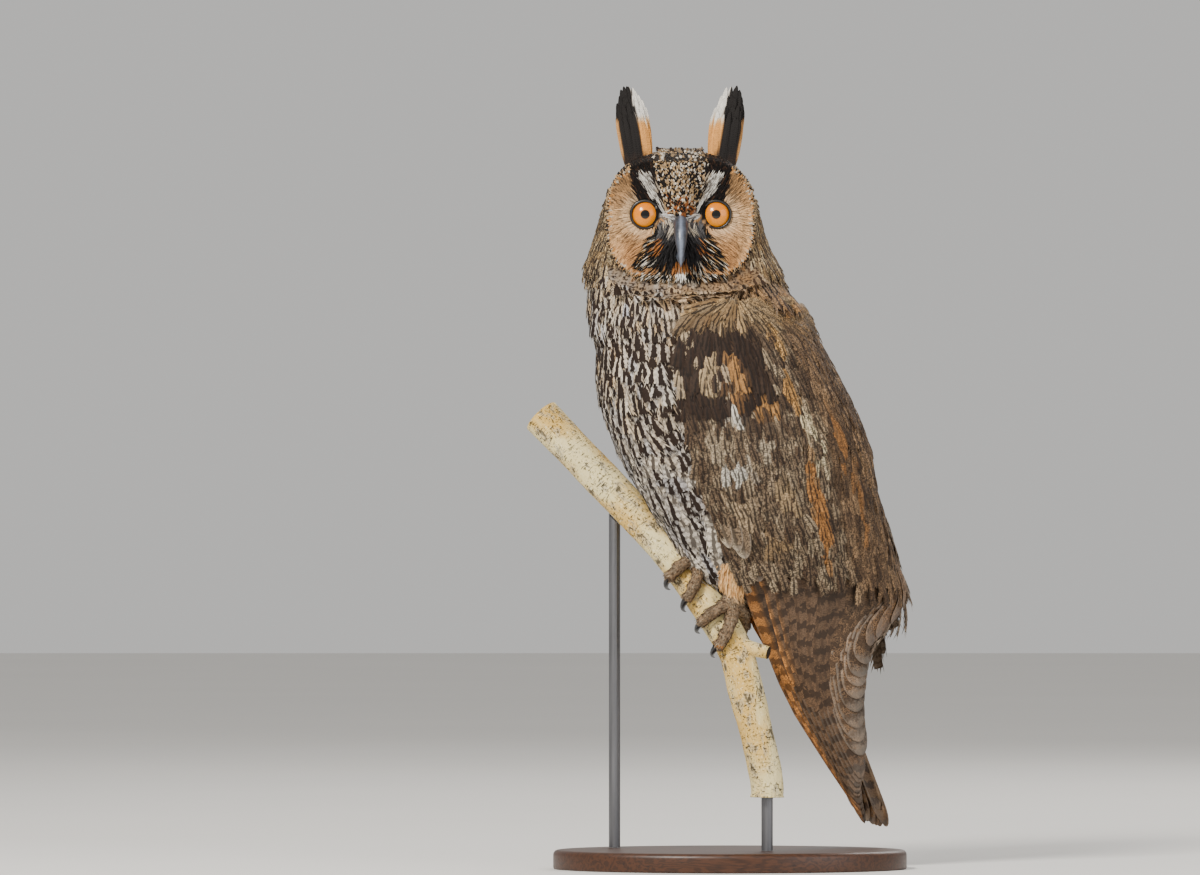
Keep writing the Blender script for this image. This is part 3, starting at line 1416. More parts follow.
def under_wing(points):
    """Whether places on the body lie under a folded wing."""
    angle, tall = body_angle(points), points[:, 2]
    covered = np.zeros(len(points), bool)
    for side, foot in ((1, LEFT_WING_FOOT), (-1, RIGHT_WING_FOOT)):
        front, rear = read(WING_TOP + foot, tall)[:, 3:].T
        turned = angle * side
        covered |= (turned > front + 9) & (turned < rear - 3) & (tall > 132) & (tall < 290)
    return covered


def on_face(points, grow=1.0):
    x, z = points[:, 0] - FACE_MIDDLE[0], points[:, 2] - FACE_MIDDLE[2]
    return (face_depth(x, z)[1] < grow) & (points[:, 1] < -15) & (points[:, 2] > 300)


def back_of_head(points, normals, down):
    """How head feathers lie: up and over the front of the crown, and down behind."""
    above = step_between(338, 352, points[:, 2])[:, None]
    lie = down * (1 - above) + np.array([0, 1.0, 0.0]) * above
    return level(lie, normals)


class BodyCoat(bpy.types.Operator):
    """Loose feathers of breast, belly, flanks and back"""

    bl_idname = "owl.body_coat"
    bl_label = "Body feathers"

    def execute(self, context):
        choice = settings()
        rng = np.random.default_rng(choice.seed + 1)
        surface = coat_surface(4.2, 4.2, 4.2)
        gap = choice.coat_gap / MM

        def gap_at(tall):
            return gap * float(np.interp(tall, (126, 200, 280, 318), (1.1, 1.1, 0.95, 0.72)))

        shapes = template_set("Body feathers", [soft_feather(f"soft_{i}", i + 3) for i in range(3)])
        finish = plumage("Body feathers")
        for name, low, high in (("coat_belly", 127, 222), ("coat_breast", 222, 318)):
            points, normals, down, patch = strew_rows(
                surface, low, high, gap_at, rng, lambda p: ~under_wing(p) & ~on_face(p, 1.02)
            )
            tall = points[:, 2]
            look = coat_look(points, rng)
            ruff = step_between(282, 290, tall) * (1 - step_between(302, 310, tall))
            long = np.interp(tall, (126, 160, 215, 260, 300, 318), (24, 21, 18, 15, 12, 11)) + 5 * ruff
            ruff = ruff * step_between(30, 50, np.abs(body_angle(points)))
            under_chin = step_between(284, 293, tall) * step_between(-34, -42, points[:, 1])
            long *= rng.uniform(0.85, 1.15, len(long)) * (1 - 0.5 * under_chin)
            down = unit(down + np.array([0.0, 0.0, -0.4]) * under_chin[:, None])
            wide = long * 0.42 + 1.2
            size = np.stack([wide, long, long], -1)
            lift = (0.2 + 0.22 * ruff)[:, None]
            strew(name, "body_feathers", shapes, finish, points, normals, down, size, look, patch, rng, lift)
        clear_templates(shapes)
        return {"FINISHED"}


class HeadCoat(bpy.types.Operator):
    """Short feathers of nape, cheeks and crown"""

    bl_idname = "owl.head_coat"
    bl_label = "Head feathers"

    def execute(self, context):
        choice = settings()
        rng = np.random.default_rng(choice.seed + 2)
        surface = coat_surface(2.2, 2.2, 1.2)
        gap = choice.head_gap / MM
        shapes = template_set("Head feathers", [soft_feather(f"short_{i}", i + 11) for i in range(3)])
        finish = plumage("Head feathers")
        pieces = (("coat_nape", 316, 341, 1.15), ("coat_crown", 341, 375.2, 1.0))
        for name, low, high, share in pieces:
            points, normals, down, patch = strew_rows(
                surface, low, high, lambda tall: gap * share, rng, lambda p: ~on_face(p, 1.0)
            )
            look = coat_look(points, rng)
            x, z = points[:, 0] - FACE_MIDDLE[0], points[:, 2] - FACE_MIDDLE[2]
            front = ((points[:, 1] < -18) & (z > 14))[:, None]
            painted = face_paint(x, z, rng)
            look["light"] = np.where(front, painted, look["light"])
            look["marks"] = np.where(front, np.array([0.0, 0.0, 0.3]), look["marks"])
            long = np.interp(points[:, 2], (316, 330, 352, 366), (11.5, 9.0, 5.6, 4.4))
            long *= rng.uniform(0.85, 1.15, len(long))
            size = np.stack([long * 0.4, long, long], -1)
            lie = back_of_head(points, normals, down)
            strew(name, "body_feathers", shapes, finish, points, normals, lie, size, look, patch, rng, 0.16)
        clear_templates(shapes)
        return {"FINISHED"}


def face_surface(x, z, sink):
    """Places and normals on the face, at places in mm from its middle."""
    depth, _ = face_depth(x, z)
    slope_x = (face_depth(x + 0.3, z)[0] - face_depth(x - 0.3, z)[0]) / 0.6
    slope_z = (face_depth(x, z + 0.3)[0] - face_depth(x, z - 0.3)[0]) / 0.6
    normals = unit(np.stack([slope_x, -np.ones_like(x), slope_z], -1))
    points = np.stack([x, depth, z], -1) + FACE_MIDDLE * (1, 0, 1)
    return points - normals * np.asarray(sink)[..., None], normals


class FaceCoat(bpy.types.Operator):
    """Fine barbs of the facial disc, brows, whiskers and forehead"""

    bl_idname = "owl.face_coat"
    bl_label = "Face barbs"

    def execute(self, context):
        choice = settings()
        rng = np.random.default_rng(choice.seed + 3)
        gap = choice.barb_gap / MM
        grid_x, grid_z = np.meshgrid(np.arange(-40, 40, gap), np.arange(-36, 30, gap))
        x = grid_x.ravel() + rng.uniform(-0.5, 0.5, grid_x.size) * gap
        z = grid_z.ravel() + rng.uniform(-0.5, 0.5, grid_x.size) * gap
        _, rim = face_depth(x, z)
        from_eye = np.hypot(np.abs(x) - EYE_SPREAD, z)
        keep = (rim < 1.03) & (from_eye > 7.3) & ~((np.abs(x) < 2.6) & (z < -4.5) & (z > -24))
        x, z = x[keep], z[keep]
        side, sign = np.abs(x), np.sign(x)

        # Which way the barbs lie: out from the eyes, out and down from the bill, up the brow
        from_x, from_z = side - EYE_SPREAD * 0.93, z
        middle = (1 - step_between(7, 13, side)) * step_between(0, -5, z)
        from_x = from_x * (1 - middle) + (side * 0.55 + 0.4) * middle
        from_z = from_z * (1 - middle) + (-14.0) * middle
        whisker = step_between(6, 11, side) * (1 - step_between(22, 26, side)) * step_between(-5, -10, z)
        from_x = from_x * (1 - whisker) + 10.0 * whisker
        from_z = from_z * (1 - whisker) + (-3.0 - 0.32 * (side - 8) + 0.25 * (z + 10)) * whisker
        crown = (side < np.interp(z, (-2, 0, 11, 27), (4, 7.2, 11, 14))) & (z > -2)
        brow = (z > 0) & (z < 20) & ~crown & (side < 23) & (side > 9)
        from_x = np.where(crown, side * 0.25, np.where(brow, 5.2, from_x))
        from_z = np.where(crown, 6.0, np.where(brow, 9.5, from_z))
        heading = unit(np.stack([from_x * sign, np.zeros_like(x), from_z], -1))

        long = rng.uniform(4.6, 6.6, len(x))
        long = np.where(crown, rng.uniform(2.2, 3.0, len(x)), long)
        long = np.where(brow, rng.uniform(5.0, 7.0, len(x)), long)
        long = long + 3.2 * whisker + 1.6 * middle
        long = np.minimum(long, 4.4 + 0.0 * long + 40 * (np.hypot(side - EYE_SPREAD, z) > 8.8))
        _, tip_rim = face_depth(x + heading[:, 0] * long, z + heading[:, 2] * long)
        long = long * (1 - 0.55 * step_between(0.98, 1.1, tip_rim))
        wide = np.where(crown, 1.7, np.where(whisker > 0.5, 0.55, 0.95)) * rng.uniform(0.8, 1.2, len(x))
        wide = np.where(middle > 0.5, 0.6, wide)
        reach = heading * (long * 0.55)[:, None]
        colour = face_paint(x + reach[:, 0], z + reach[:, 2], rng)
        points, normals = face_surface(x, z, np.full(len(x), 1.3))
        look = barb_look(colour, 0.55, 0.25)
        size = np.stack([wide, long, long], -1)
        patch = np.stack([(x + 42) / 84, (z + 40) / 80], -1)
        lift = (0.14 + 0.12 * (crown | brow) + 0.2 * middle + 0.1 * whisker)[:, None]
        shapes = template_set("Barbs", [single_barb("barb_a", 0.16, 3.0), single_barb("barb_b", 0.24, 2.0)])
        roots, finish = (points, normals, heading, size, look, patch), plumage("Face barbs", 0.8)
        strew("coat_face", "face_feathers", shapes, finish, *roots, rng, lift, 0.1, 2)
        clear_templates(shapes)
        return {"FINISHED"}


class LegDown(bpy.types.Operator):
    """Short down over the legs and toes"""

    bl_idname = "owl.leg_down"
    bl_label = "Leg down"

    def execute(self, context):
        choice = settings()
        rng = np.random.default_rng(choice.seed + 4)
        skin = bpy.data.objects["skin"]

        def wanted(points):
            return (foot_distance(points) < 33) & (points[:, 2] < 176) & (perch_distance(points) > 9.0)

        points, normals = face_samples(skin.data, wanted, 0.85, rng)
        toe = step_between(21.5, 17.5, perch_distance(points))
        palms = np.array(palm_places())
        nearest = np.argmin(np.linalg.norm(points[:, None] - palms[None], axis=-1), 1)
        away = unit(points - palms[nearest])
        lie = away * toe[:, None] + np.array([0, 0, -1.0]) * (1 - toe)[:, None]
        chance = rng.uniform(0, 1, len(points))
        leg_colour = blend((214, 164, 108), (232, 198, 150), chance)
        toe_colour = blend((178, 160, 136), (118, 102, 86), chance)
        colour = leg_colour * (1 - toe)[:, None] + toe_colour * toe[:, None]
        long = rng.uniform(4.5, 7.5, len(points)) * (1 - toe) + rng.uniform(1.6, 2.6, len(points)) * toe
        wide = 1.3 * (1 - toe) + 0.8 * toe
        look = barb_look(colour, 0.6, 0.2)
        patch = np.stack([(points[:, 0] + 60) / 120, (points[:, 2] - 90) / 110], -1)
        size = np.stack([wide, long, long], -1)
        shapes = template_set("Down", [single_barb("down_a", 0.16, 3.0), single_barb("down_b", 0.26, 2.0)])
        roots, finish = (points - normals * 0.3, normals, lie, size, look, patch), plumage("Leg down", 0.85)
        strew("down_legs", "leg_feathers", shapes, finish, *roots, rng, 0.18, kinds=2)
        clear_templates(shapes)
        return {"FINISHED"}


# Rows of wing feathers. Each: how many, then for its first and last feather the root's share
# and height, the tip's share and height and the width in mm
PRIMARIES = {
    1: (9, (0.04, 176), (0.08, 23), 12, (0.40, 170), (0.62, 47), 14),
    -1: (9, (0.04, 176), (0.10, 52), 12, (0.40, 170), (0.62, 62), 13),
}
SECONDARIES = {
    1: (8, (0.45, 172), (0.70, 61), 16, (0.80, 172), (0.86, 106), 18),
    -1: (8, (0.45, 172), (0.72, 70), 15, (0.80, 172), (0.86, 106), 17),
}
TERTIALS = (5, (0.82, 194), (0.86, 118), 17, (0.99, 204), (0.96, 140), 15)
COVERTS = (
    (11, (0.07, 190), (0.10, 150), 13, (0.80, 194), (0.79, 148), 15),
    (11, (0.08, 203), (0.10, 166), 12, (0.79, 208), (0.79, 164), 14),
    (10, (0.08, 216), (0.09, 181), 12, (0.77, 222), (0.78, 181), 14),
    (9, (0.09, 228), (0.10, 195), 12, (0.74, 234), (0.77, 195), 14),
    (9, (0.11, 240), (0.11, 208), 12, (0.70, 248), (0.74, 209), 14),
    (8, (0.14, 252), (0.13, 222), 12, (0.66, 262), (0.69, 224), 14),
    (7, (0.18, 264), (0.17, 236), 12, (0.62, 274), (0.64, 238), 13),
    (7, (0.22, 275), (0.20, 249), 11, (0.62, 284), (0.64, 251), 13),
)
SCAPULARS = (
    (6, (0.56, 290), (0.60, 258), 12, (0.98, 272), (0.98, 238), 14),
    (6, (0.60, 276), (0.65, 240), 13, (0.97, 252), (0.96, 214), 15),
    (6, (0.65, 260), (0.70, 220), 13, (0.97, 234), (0.95, 192), 16),
    (6, (0.70, 244), (0.75, 202), 14, (0.96, 216), (0.94, 168), 16),
)
ALULA = (3, (0.03, 214), (0.02, 170), 9, (0.12, 206), (0.08, 160), 11)


def wing_look(kind, share, long, wide, rng):
    """The markings of one wing feather, whose front and rear web differ in colour."""
    chance, other = rng.uniform(0, 1, 2)
    tone = rng.uniform(0.86, 1.1)
    if kind == "primary":
        front, rear = blend((206, 150, 92), (112, 90, 70), step_between(0.12, 0.4, share)), (112, 92, 74)
        dark, marks, trim = (44, 33, 26), (0.5, 0.75, 0.45), (0.15, 0.0, 9.5)
    elif kind == "secondary":
        front, rear = (138, 112, 86), (118, 98, 78)
        dark, marks, trim = (52, 39, 30), (0.3, 0.6, 0.8), (0.3, 0.0, 7.5)
    elif kind == "tertial":
        front, rear = (150, 120, 90), (128, 102, 78)
        dark, marks, trim = (52, 38, 29), (0.3, 0.45, 0.85), (0.25, 0.0, 6.5)
    elif kind == "scapular":
        front, rear = (236, 222, 196) if chance < 0.32 else (206, 156, 98), (168, 122, 80)
        dark, marks, trim = (58, 42, 31), (1.0, 0.2, 0.7), (0.6, 0.45 + 0.3 * other, 5.0)
    else:
        pales = ((206, 190, 166), (196, 152, 102), (232, 226, 214), (150, 122, 92))
        front = pales[int(np.searchsorted((0.32, 0.62, 0.74), chance))]
        rear = blend(front, (120, 94, 70), 0.45)
        dark, marks, trim = (50, 37, 28), (0.8, 0.25, 0.85), (0.35, 0.78 + 0.2 * other, 5.0)

    def look(across, _):
        light = blend(front, rear, step_between(-0.12, 0.12, across)) * tone
        return look_of(np.clip(light, 0, 255), dark, marks, long, wide, chance, trim)

    return look


def lay_row(plumes, side, row, kind, lifts, rng, round_from, tilt=0.1, bend=0.02):
    """One row of overlapping wing feathers; each lies over the one in front of it."""
    count, root_a, tip_a, wide_a, root_b, tip_b, wide_b = row
    for i in range(count):
        share = i / (count - 1)
        root = np.array(root_a) * (1 - share) + np.array(root_b) * share
        tip = np.array(tip_a) * (1 - share) + np.array(tip_b) * share
        root = root + rng.normal(0, (0.006, 0.8))
        tip = tip + rng.normal(0, (0.006, 1.1))
        wide = wide_a * (1 - share) + wide_b * share
        t = np.linspace(0, 1, 12)
        across, tall = root[0] + (tip[0] - root[0]) * t, root[1] + (tip[1] - root[1]) * t
        normals = wing_normals(side, across, tall)
        rise = lifts[0] + (lifts[1] + lifts[2] * i - lifts[0]) * t**0.6
        places = wing_points(side, across, tall) + normals * rise[:, None]
        back = wing_points(side, across + 0.03, tall) - wing_points(side, across - 0.03, tall)
        long = float(np.linalg.norm(places[-1] - places[0]))
        look = wing_look(kind, share, long, wide, rng)
        plumes.lay(places, normals, unit(back), wide, look, round_from, tilt, bend)


def lay_wing(name, side, seed, finish):
    rng = np.random.default_rng(seed)
    plumes = Plumes(12)
    tall = np.array([150, 160, 172, 186, 202, 220, 240, 260, 278, 292])
    share = np.linspace(0.03, 0.97, 16)
    thick = 1.6 + 5.0 * step_between(150, 190, tall)[:, None]
    outer = wing_points(side, share[None], tall[:, None], 3.6)
    body = np.maximum(0.25, np.sin(np.linspace(0, math.pi, 16)) ** 0.5)
    inner = wing_points(side, share[None], tall[:, None], 3.6 + thick * body)[:, ::-1]
    arm = look_of(BROWN, DARK, (0, 0, 0.4), 20, 10, 0.5, (0, 0, 4))
    plumes.add_body(np.concatenate([outer, inner], 1), arm)
    lay_row(plumes, side, PRIMARIES[side], "primary", (-4.4, -3.6, 0.42), rng, 0.72, 0.08)
    lay_row(plumes, side, SECONDARIES[side], "secondary", (-4.0, 0.2, 0.4), rng, 0.84, 0.08)
    lay_row(plumes, side, TERTIALS, "tertial", (-3.4, 2.6, 0.35), rng, 0.82, 0.08)
    for i, row in enumerate(COVERTS):
        lay_row(plumes, side, row, "covert", (-3.8, -0.9 + 0.08 * i, 0.04), rng, 0.6, 0.1)
    lay_row(plumes, side, ALULA, "covert", (-3.6, 2.2, 0.4), rng, 0.7, 0.1)
    for i, row in enumerate(SCAPULARS[::-1]):
        lay_row(plumes, side, row, "scapular", (-3.2, 0.1 + 0.2 * i, 0.06), rng, 0.6, 0.1)
    part_of_owl(plumes.build(name, finish), "flight_feathers", name)


class Wings(bpy.types.Operator):
    """Both folded wings, feather by feather"""

    bl_idname = "owl.wings"
    bl_label = "Wings"

    def execute(self, context):
        finish = plumage("Flight feathers", 0.6)
        seed = settings().seed
        lay_wing("wing_left", 1, seed + 20, finish)
        lay_wing("wing_right", -1, seed + 30, finish)
        return {"FINISHED"}


# Pale patches of the folded wing: share and height of the middle, half share, half height, colour
WING_PATCHES = (
    (0.11, 262, 0.045, 12, (198, 176, 142)),
    (0.21, 262, 0.045, 13, (194, 150, 98)),
    (0.17, 240, 0.05, 6, (232, 226, 214)),
    (0.28, 245, 0.05, 7, (206, 160, 104)),
    (0.09, 225, 0.05, 7, (196, 180, 156)),
    (0.24, 225, 0.05, 7, (196, 182, 160)),
    (0.14, 212, 0.055, 6, (228, 222, 210)),
    (0.11, 193, 0.06, 7, (198, 176, 146)),
    (0.44, 281, 0.028, 12, (212, 172, 116)),
    (0.41, 254, 0.025, 8, (206, 162, 104)),
    (0.44, 238, 0.035, 8, (238, 222, 186)),
    (0.455, 219, 0.032, 7, (240, 226, 192)),
    (0.405, 196, 0.03, 34, (198, 146, 90)),
    (0.3, 200, 0.04, 9, (190, 166, 132)),
    (0.22, 176, 0.05, 8, (176, 150, 116)),
    (0.56, 236, 0.02, 20, (186, 138, 88)),
    (0.62, 200, 0.02, 24, (180, 136, 90)),
)


def wing_coat(share, tall, rng):
    """Colours and marks of the small wing feathers: dark brown with pale patches."""
    chance, other = rng.uniform(0, 1, len(share)), rng.uniform(0, 1, len(share))
    shoulder = step_between(228, 246, tall) * (1 - step_between(0.3, 0.4, share))
    ground = blend((190, 172, 146), (108, 88, 70), chance)
    ground = blend(ground, (58, 42, 32), 0.85 * shoulder * (chance > 0.12))
    rear = step_between(0.46, 0.54, share)
    ground = blend(ground, blend((186, 150, 112), (96, 76, 58), chance), 0.7 * rear)
    neck = step_between(280, 292, tall)
    ground = blend(ground, blend(BUFF, CREAM, chance), 0.6 * neck)
    fleck = 0.85 - 0.5 * shoulder
    for middle, high, half, reach, colour in WING_PATCHES:
        off = ((share - middle) / half) ** 2 + ((tall - high) / reach) ** 2
        inside = 1 - step_between(0.5, 1.2, off + (other - 0.4) * 1.3)
        ground = blend(ground, colour, inside * 0.95)
        fleck = fleck * (1 - 0.15 * inside)
    marks = np.stack([0.9 - 0.3 * rear + 0 * fleck, 0.15 + 0 * fleck, fleck], -1)
    return ground, marks


class ShoulderCoat(bpy.types.Operator):
    """Small feathers over the shoulders, the mantle and the wings' rear edges"""

    bl_idname = "owl.shoulder_coat"
    bl_label = "Shoulder feathers"

    def execute(self, context):
        choice = settings()
        rng = np.random.default_rng(choice.seed + 5)
        shapes = template_set("Shoulder", [soft_feather(f"mantle_{i}", i + 21) for i in range(3)])
        finish = plumage("Shoulder feathers", 0.7)
        for name, side in (("coat_shoulder_left", 1), ("coat_shoulder_right", -1)):
            share, tall = np.meshgrid(np.arange(0.0, 1.0, 0.021), np.arange(118, 297, 3.0))
            share = share.ravel() + rng.uniform(-0.01, 0.01, share.size)
            tall = tall.ravel() + rng.uniform(-1.4, 1.4, tall.size)
            cover = step_between(150, 170, tall + 14 * share)
            edge = step_between(0.9, 0.96, share) * (tall < 190) * (tall > 120)
            likely = np.maximum(cover, 0.5 * edge)
            keep = rng.uniform(0, 1, len(share)) < likely
            share, tall, edge = share[keep], tall[keep], edge[keep]
            normals = wing_normals(side, share, tall)
            points = wing_points(side, share, tall) + normals * 0.4
            lie = unit(wing_points(side, share, tall - 1) - wing_points(side, share, tall + 1))
            back = unit(wing_points(side, share + 0.02, tall) - wing_points(side, share - 0.02, tall))
            seam = step_between(0.88, 0.96, share) * step_between(186, 200, tall)
            lie = unit(lie + back * (0.35 * edge + 0.7 * seam)[:, None])
            look = coat_look(points, rng)
            chance = rng.uniform(0, 1, len(points))
            loose = blend((186, 172, 154), (140, 122, 104), chance)
            light, marks = wing_coat(share, tall, rng)
            look["light"] = light * (1 - edge)[:, None] + loose * edge[:, None]
            look["marks"] = marks * (1 - edge)[:, None] + edge[:, None] * np.array([0.2, 0.7, 0.4])
            look["dark"] = blend((42, 31, 24), (104, 88, 72), edge)
            look["trim"] = look["trim"] * (0.3, 1, 1)
            long = rng.uniform(9.5, 13.5, len(points)) + 8 * edge + 5 * seam
            size = np.stack([long * 0.4, long, long], -1)
            patch = np.stack([share * 0.96 + 0.02, (tall - 110) / 190], -1)
            lift = (0.06 + 0.16 * edge + 0.1 * seam)[:, None]
            roots = (points, normals, lie, size, look, patch)
            strew(name, "body_feathers", shapes, finish, *roots, rng, lift, 0.14)
        clear_templates(shapes)
        return {"FINISHED"}


# The body under the tail feathers' roots: height, middle, half depth and half width
TAIL_ROOT = ((125.7, -1, 11, 11), (114, -3, 7.5, 12), (100, -4.5, 4.6, 11), (86, -5, 2.6, 9))
# Tail feathers in pairs from the middle out, in mm: tip height, how far to the side the root
# and the tip lie, how far forward the left one and the right one lie, and the width
TAIL_PAIRS = (
    (20.5, 1.0, 2.5, -9.4, -8.4, 14),
    (21.0, 1.8, 4.0, -8.3, -7.3, 14),
    (21.5, 2.5, 5.5, -7.3, -6.3, 14),
    (23.0, 4.0, 8.5, -5.1, -5.1, 14),
    (25.5, 5.5, 11.0, -3.9, -3.9, 13),
    (30.0, 7.0, 13.0, -2.7, -2.7, 12),
)


class Tail(bpy.types.Operator):
    """Tail feathers in pairs, with coverts over and under their roots"""

    bl_idname = "owl.tail"
    bl_label = "Tail"

    def execute(self, context):
        rng = np.random.default_rng(settings().seed + 40)
        plumes = Plumes(6)
        slope = in_body(0.0, 0.0, 1.0) - in_body(0.0, 0.0, 0.0)
        normal = unit(np.cross(slope, LEFT))
        normal = normal if normal @ FORWARD > 0 else -normal
        turn = np.linspace(0, 2 * math.pi, 24, endpoint=False)
        rings = [
            in_body(middle, 0.0, tall)
            + FORWARD * (deep * np.cos(turn))[:, None]
            + LEFT * (wide * np.sin(turn))[:, None]
            for tall, middle, deep, wide in TAIL_ROOT[::-1]
        ]
        core = look_of(BUFF, BROWN, (0, 0, 0.4), 20, 10, 0.5, (0, 0, 4))
        plumes.add_body(np.array(rings), core)
        t, aside = np.linspace(0, 1, 12)[:, None], np.tile(LEFT, (12, 1))
        for tall, near, far, left_x, right_x, wide in TAIL_PAIRS:
            for side, forward in ((1, left_x), (-1, right_x)):
                root = in_body(forward * 0.6 - 1.5, side * near, 110)
                tip = in_body(forward, side * far, tall)
                places = root * (1 - t) + tip * t
                chance = float(rng.uniform(0, 1))
                light = blend((196, 156, 112), (158, 134, 108), chance)
                look = look_of(light, (72, 54, 41), (0, 0.85, 0.45), 90, wide, chance, (0.4, 0, 9.5))
                plumes.lay(places, np.tile(normal, (12, 1)), aside, wide, look, 0.86, 0.02, 0.012)
        for i in range(7):
            spread = (i - 3) / 3
            for forward, drop in ((5.5, 42), (-14.0, 38)):
                for layer in range(2):
                    root = in_body(forward * 0.35, spread * 8, 122 - 6 * layer)
                    height = 118 - drop + 5 * abs(spread) + 12 * (1 - layer)
                    shift = 0.8 * (i % 2) - np.sign(forward) * 0.8 * layer
                    tip = in_body(forward + shift, spread * 10, height)
                    places = root * (1 - t) + tip * t
                    chance = float(rng.uniform(0, 1))
                    under = forward > 0
                    if under:
                        light, marks = blend((238, 226, 204), ORANGE, 0.5 * chance), (0.35, 0.1, 0.1)
                    else:
                        light, marks = blend(TAWNY, BUFF, chance), (0.6, 0.4, 0.7)
                    look = look_of(light, BROWN, marks, 40, 9, chance, (0.4, 0.0, 5.0))
                    facing = np.tile(normal * np.sign(forward), (12, 1))
                    plumes.lay(places, facing, aside, 10.0, look, 0.5, 0.0, 0.02)
        tail = plumes.build("tail", plumage("Tail feathers", 0.6))
        part_of_owl(tail, "flight_feathers", "tail")
        return {"FINISHED"}


# Ear tuft feathers in mm from the tuft's middle: how far outwards root and tip lie, how far
# back, and how high the tip is
TUFT_FEATHERS = (
    (5.6, 10.2, 0.0, 25),
    (5.2, 10.6, 0.6, 32),
    (3.6, 9.6, 1.4, 37.5),
    (1.4, 7.4, 2.2, 40.2),
    (-1.0, 4.6, 2.8, 40.4),
    (-3.2, 1.6, 2.2, 39),
    (-5.0, -1.6, 1.2, 34),
    (-6.2, -4.4, 0.5, 26),
)
TUFT_FOOT = (22.0, -8.0, 366.0)
TUFT_WHITE, TUFT_ORANGE = (224, 220, 212), (222, 166, 98)
TUFT_BLACK, TUFT_EDGE, TUFT_ROOT = (30, 22, 18), (206, 160, 106), (64, 48, 37)


def tuft_light(offset, rise, chance):
    """The tuft's colours: pale within, black without, and a buff outer edge low down."""
    border = -3.4 + 0.168 * rise + (chance - 0.5) * 1.6
    pale = blend(TUFT_ORANGE, TUFT_WHITE, step_between(22, 28, rise + 4 * chance))
    colour = blend(pale, TUFT_BLACK, step_between(-0.5, 0.7, offset - border))
    rim_at = np.interp(rise, (0, 8, 23, 40), (6.4, 7.4, 10.4, 13.0))
    colour = blend(colour, TUFT_EDGE, step_between(-0.6, 0.6, offset - rim_at) * (rise < 24))
    return blend(colour, TUFT_ROOT, 0.85 * (1 - step_between(1.5, 7.5, rise + 5 * chance - 2)))


def tuft_look(t, offset, high, chance, long, wide):
    """What one tuft feather's material reads, place by place along it."""

    def look(across, reach):
        at = np.interp(reach, t, offset) + across * wide * 0.4
        light = tuft_light(at, np.interp(reach, t, high), chance)
        dark = light * 0.35 + np.array(DARK) * 0.3
        return look_of(light, dark, (0, 0.1, 0.22), long, wide, chance, (0, 0, 4))

    return look


class EarTufts(bpy.types.Operator):
    """Ear tufts, feather by feather in four layers"""

    bl_idname = "owl.ear_tufts"
    bl_label = "Ear tufts"

    def execute(self, context):
        finish = plumage("Ear tuft feathers", 0.7)
        table = [(i, *row) for i, row in enumerate(TUFT_FEATHERS)]
        for name, side in (("ear_tuft_left", 1), ("ear_tuft_right", -1)):
            rng = np.random.default_rng(settings().seed + 50 + side)
            plumes = Plumes(9)
            foot = np.array([FACE_MIDDLE[0] + side * TUFT_FOOT[0], TUFT_FOOT[1], TUFT_FOOT[2]])
            for layer in range(4):
                for spot in np.linspace(0, 7, 15 - layer):
                    root_x, tip_x, back, rise = read(table, np.array([spot + rng.uniform(-0.2, 0.2)]))[0]
                    rise = rise * (1 - 0.11 * layer) + rng.normal(0, 0.7)
                    tip_x = root_x + (tip_x - root_x) * (1 - 0.1 * layer) + rng.normal(0, 0.35)
                    t = np.linspace(0, 1, 12)
                    bow = np.sin(math.pi * t)
                    offset = root_x * (0.68 + 0.32 * np.minimum(1, t * 2.6)) + (tip_x - root_x) * t**1.3
                    high = -4.0 + (rise + 4.0) * t
                    deep = 2.6 - 0.5 * back - 1.5 * layer + 2.0 * t + 1.0 * back * t - 1.0 * bow
                    places = foot + np.stack([side * offset, deep, high], -1)
                    aside = np.tile([float(side), 0.0, 0.0], (12, 1))
                    normals = unit(np.tile([0.0, -1.0, 0.15], (12, 1)) + aside * 0.05 * root_x)
                    chance = float(rng.uniform(0, 1))
                    long, wide = float(rise + 4), 4.2 - 0.3 * layer

                    look = tuft_look(t, offset, high, chance, long, wide)
                    plumes.lay(places, normals, aside, wide, look, 0.6, 0.0, 0.05, columns=7)
            tuft = plumes.build(name, finish)
            part_of_owl(tuft, "ear_feathers", name)
        return {"FINISHED"}


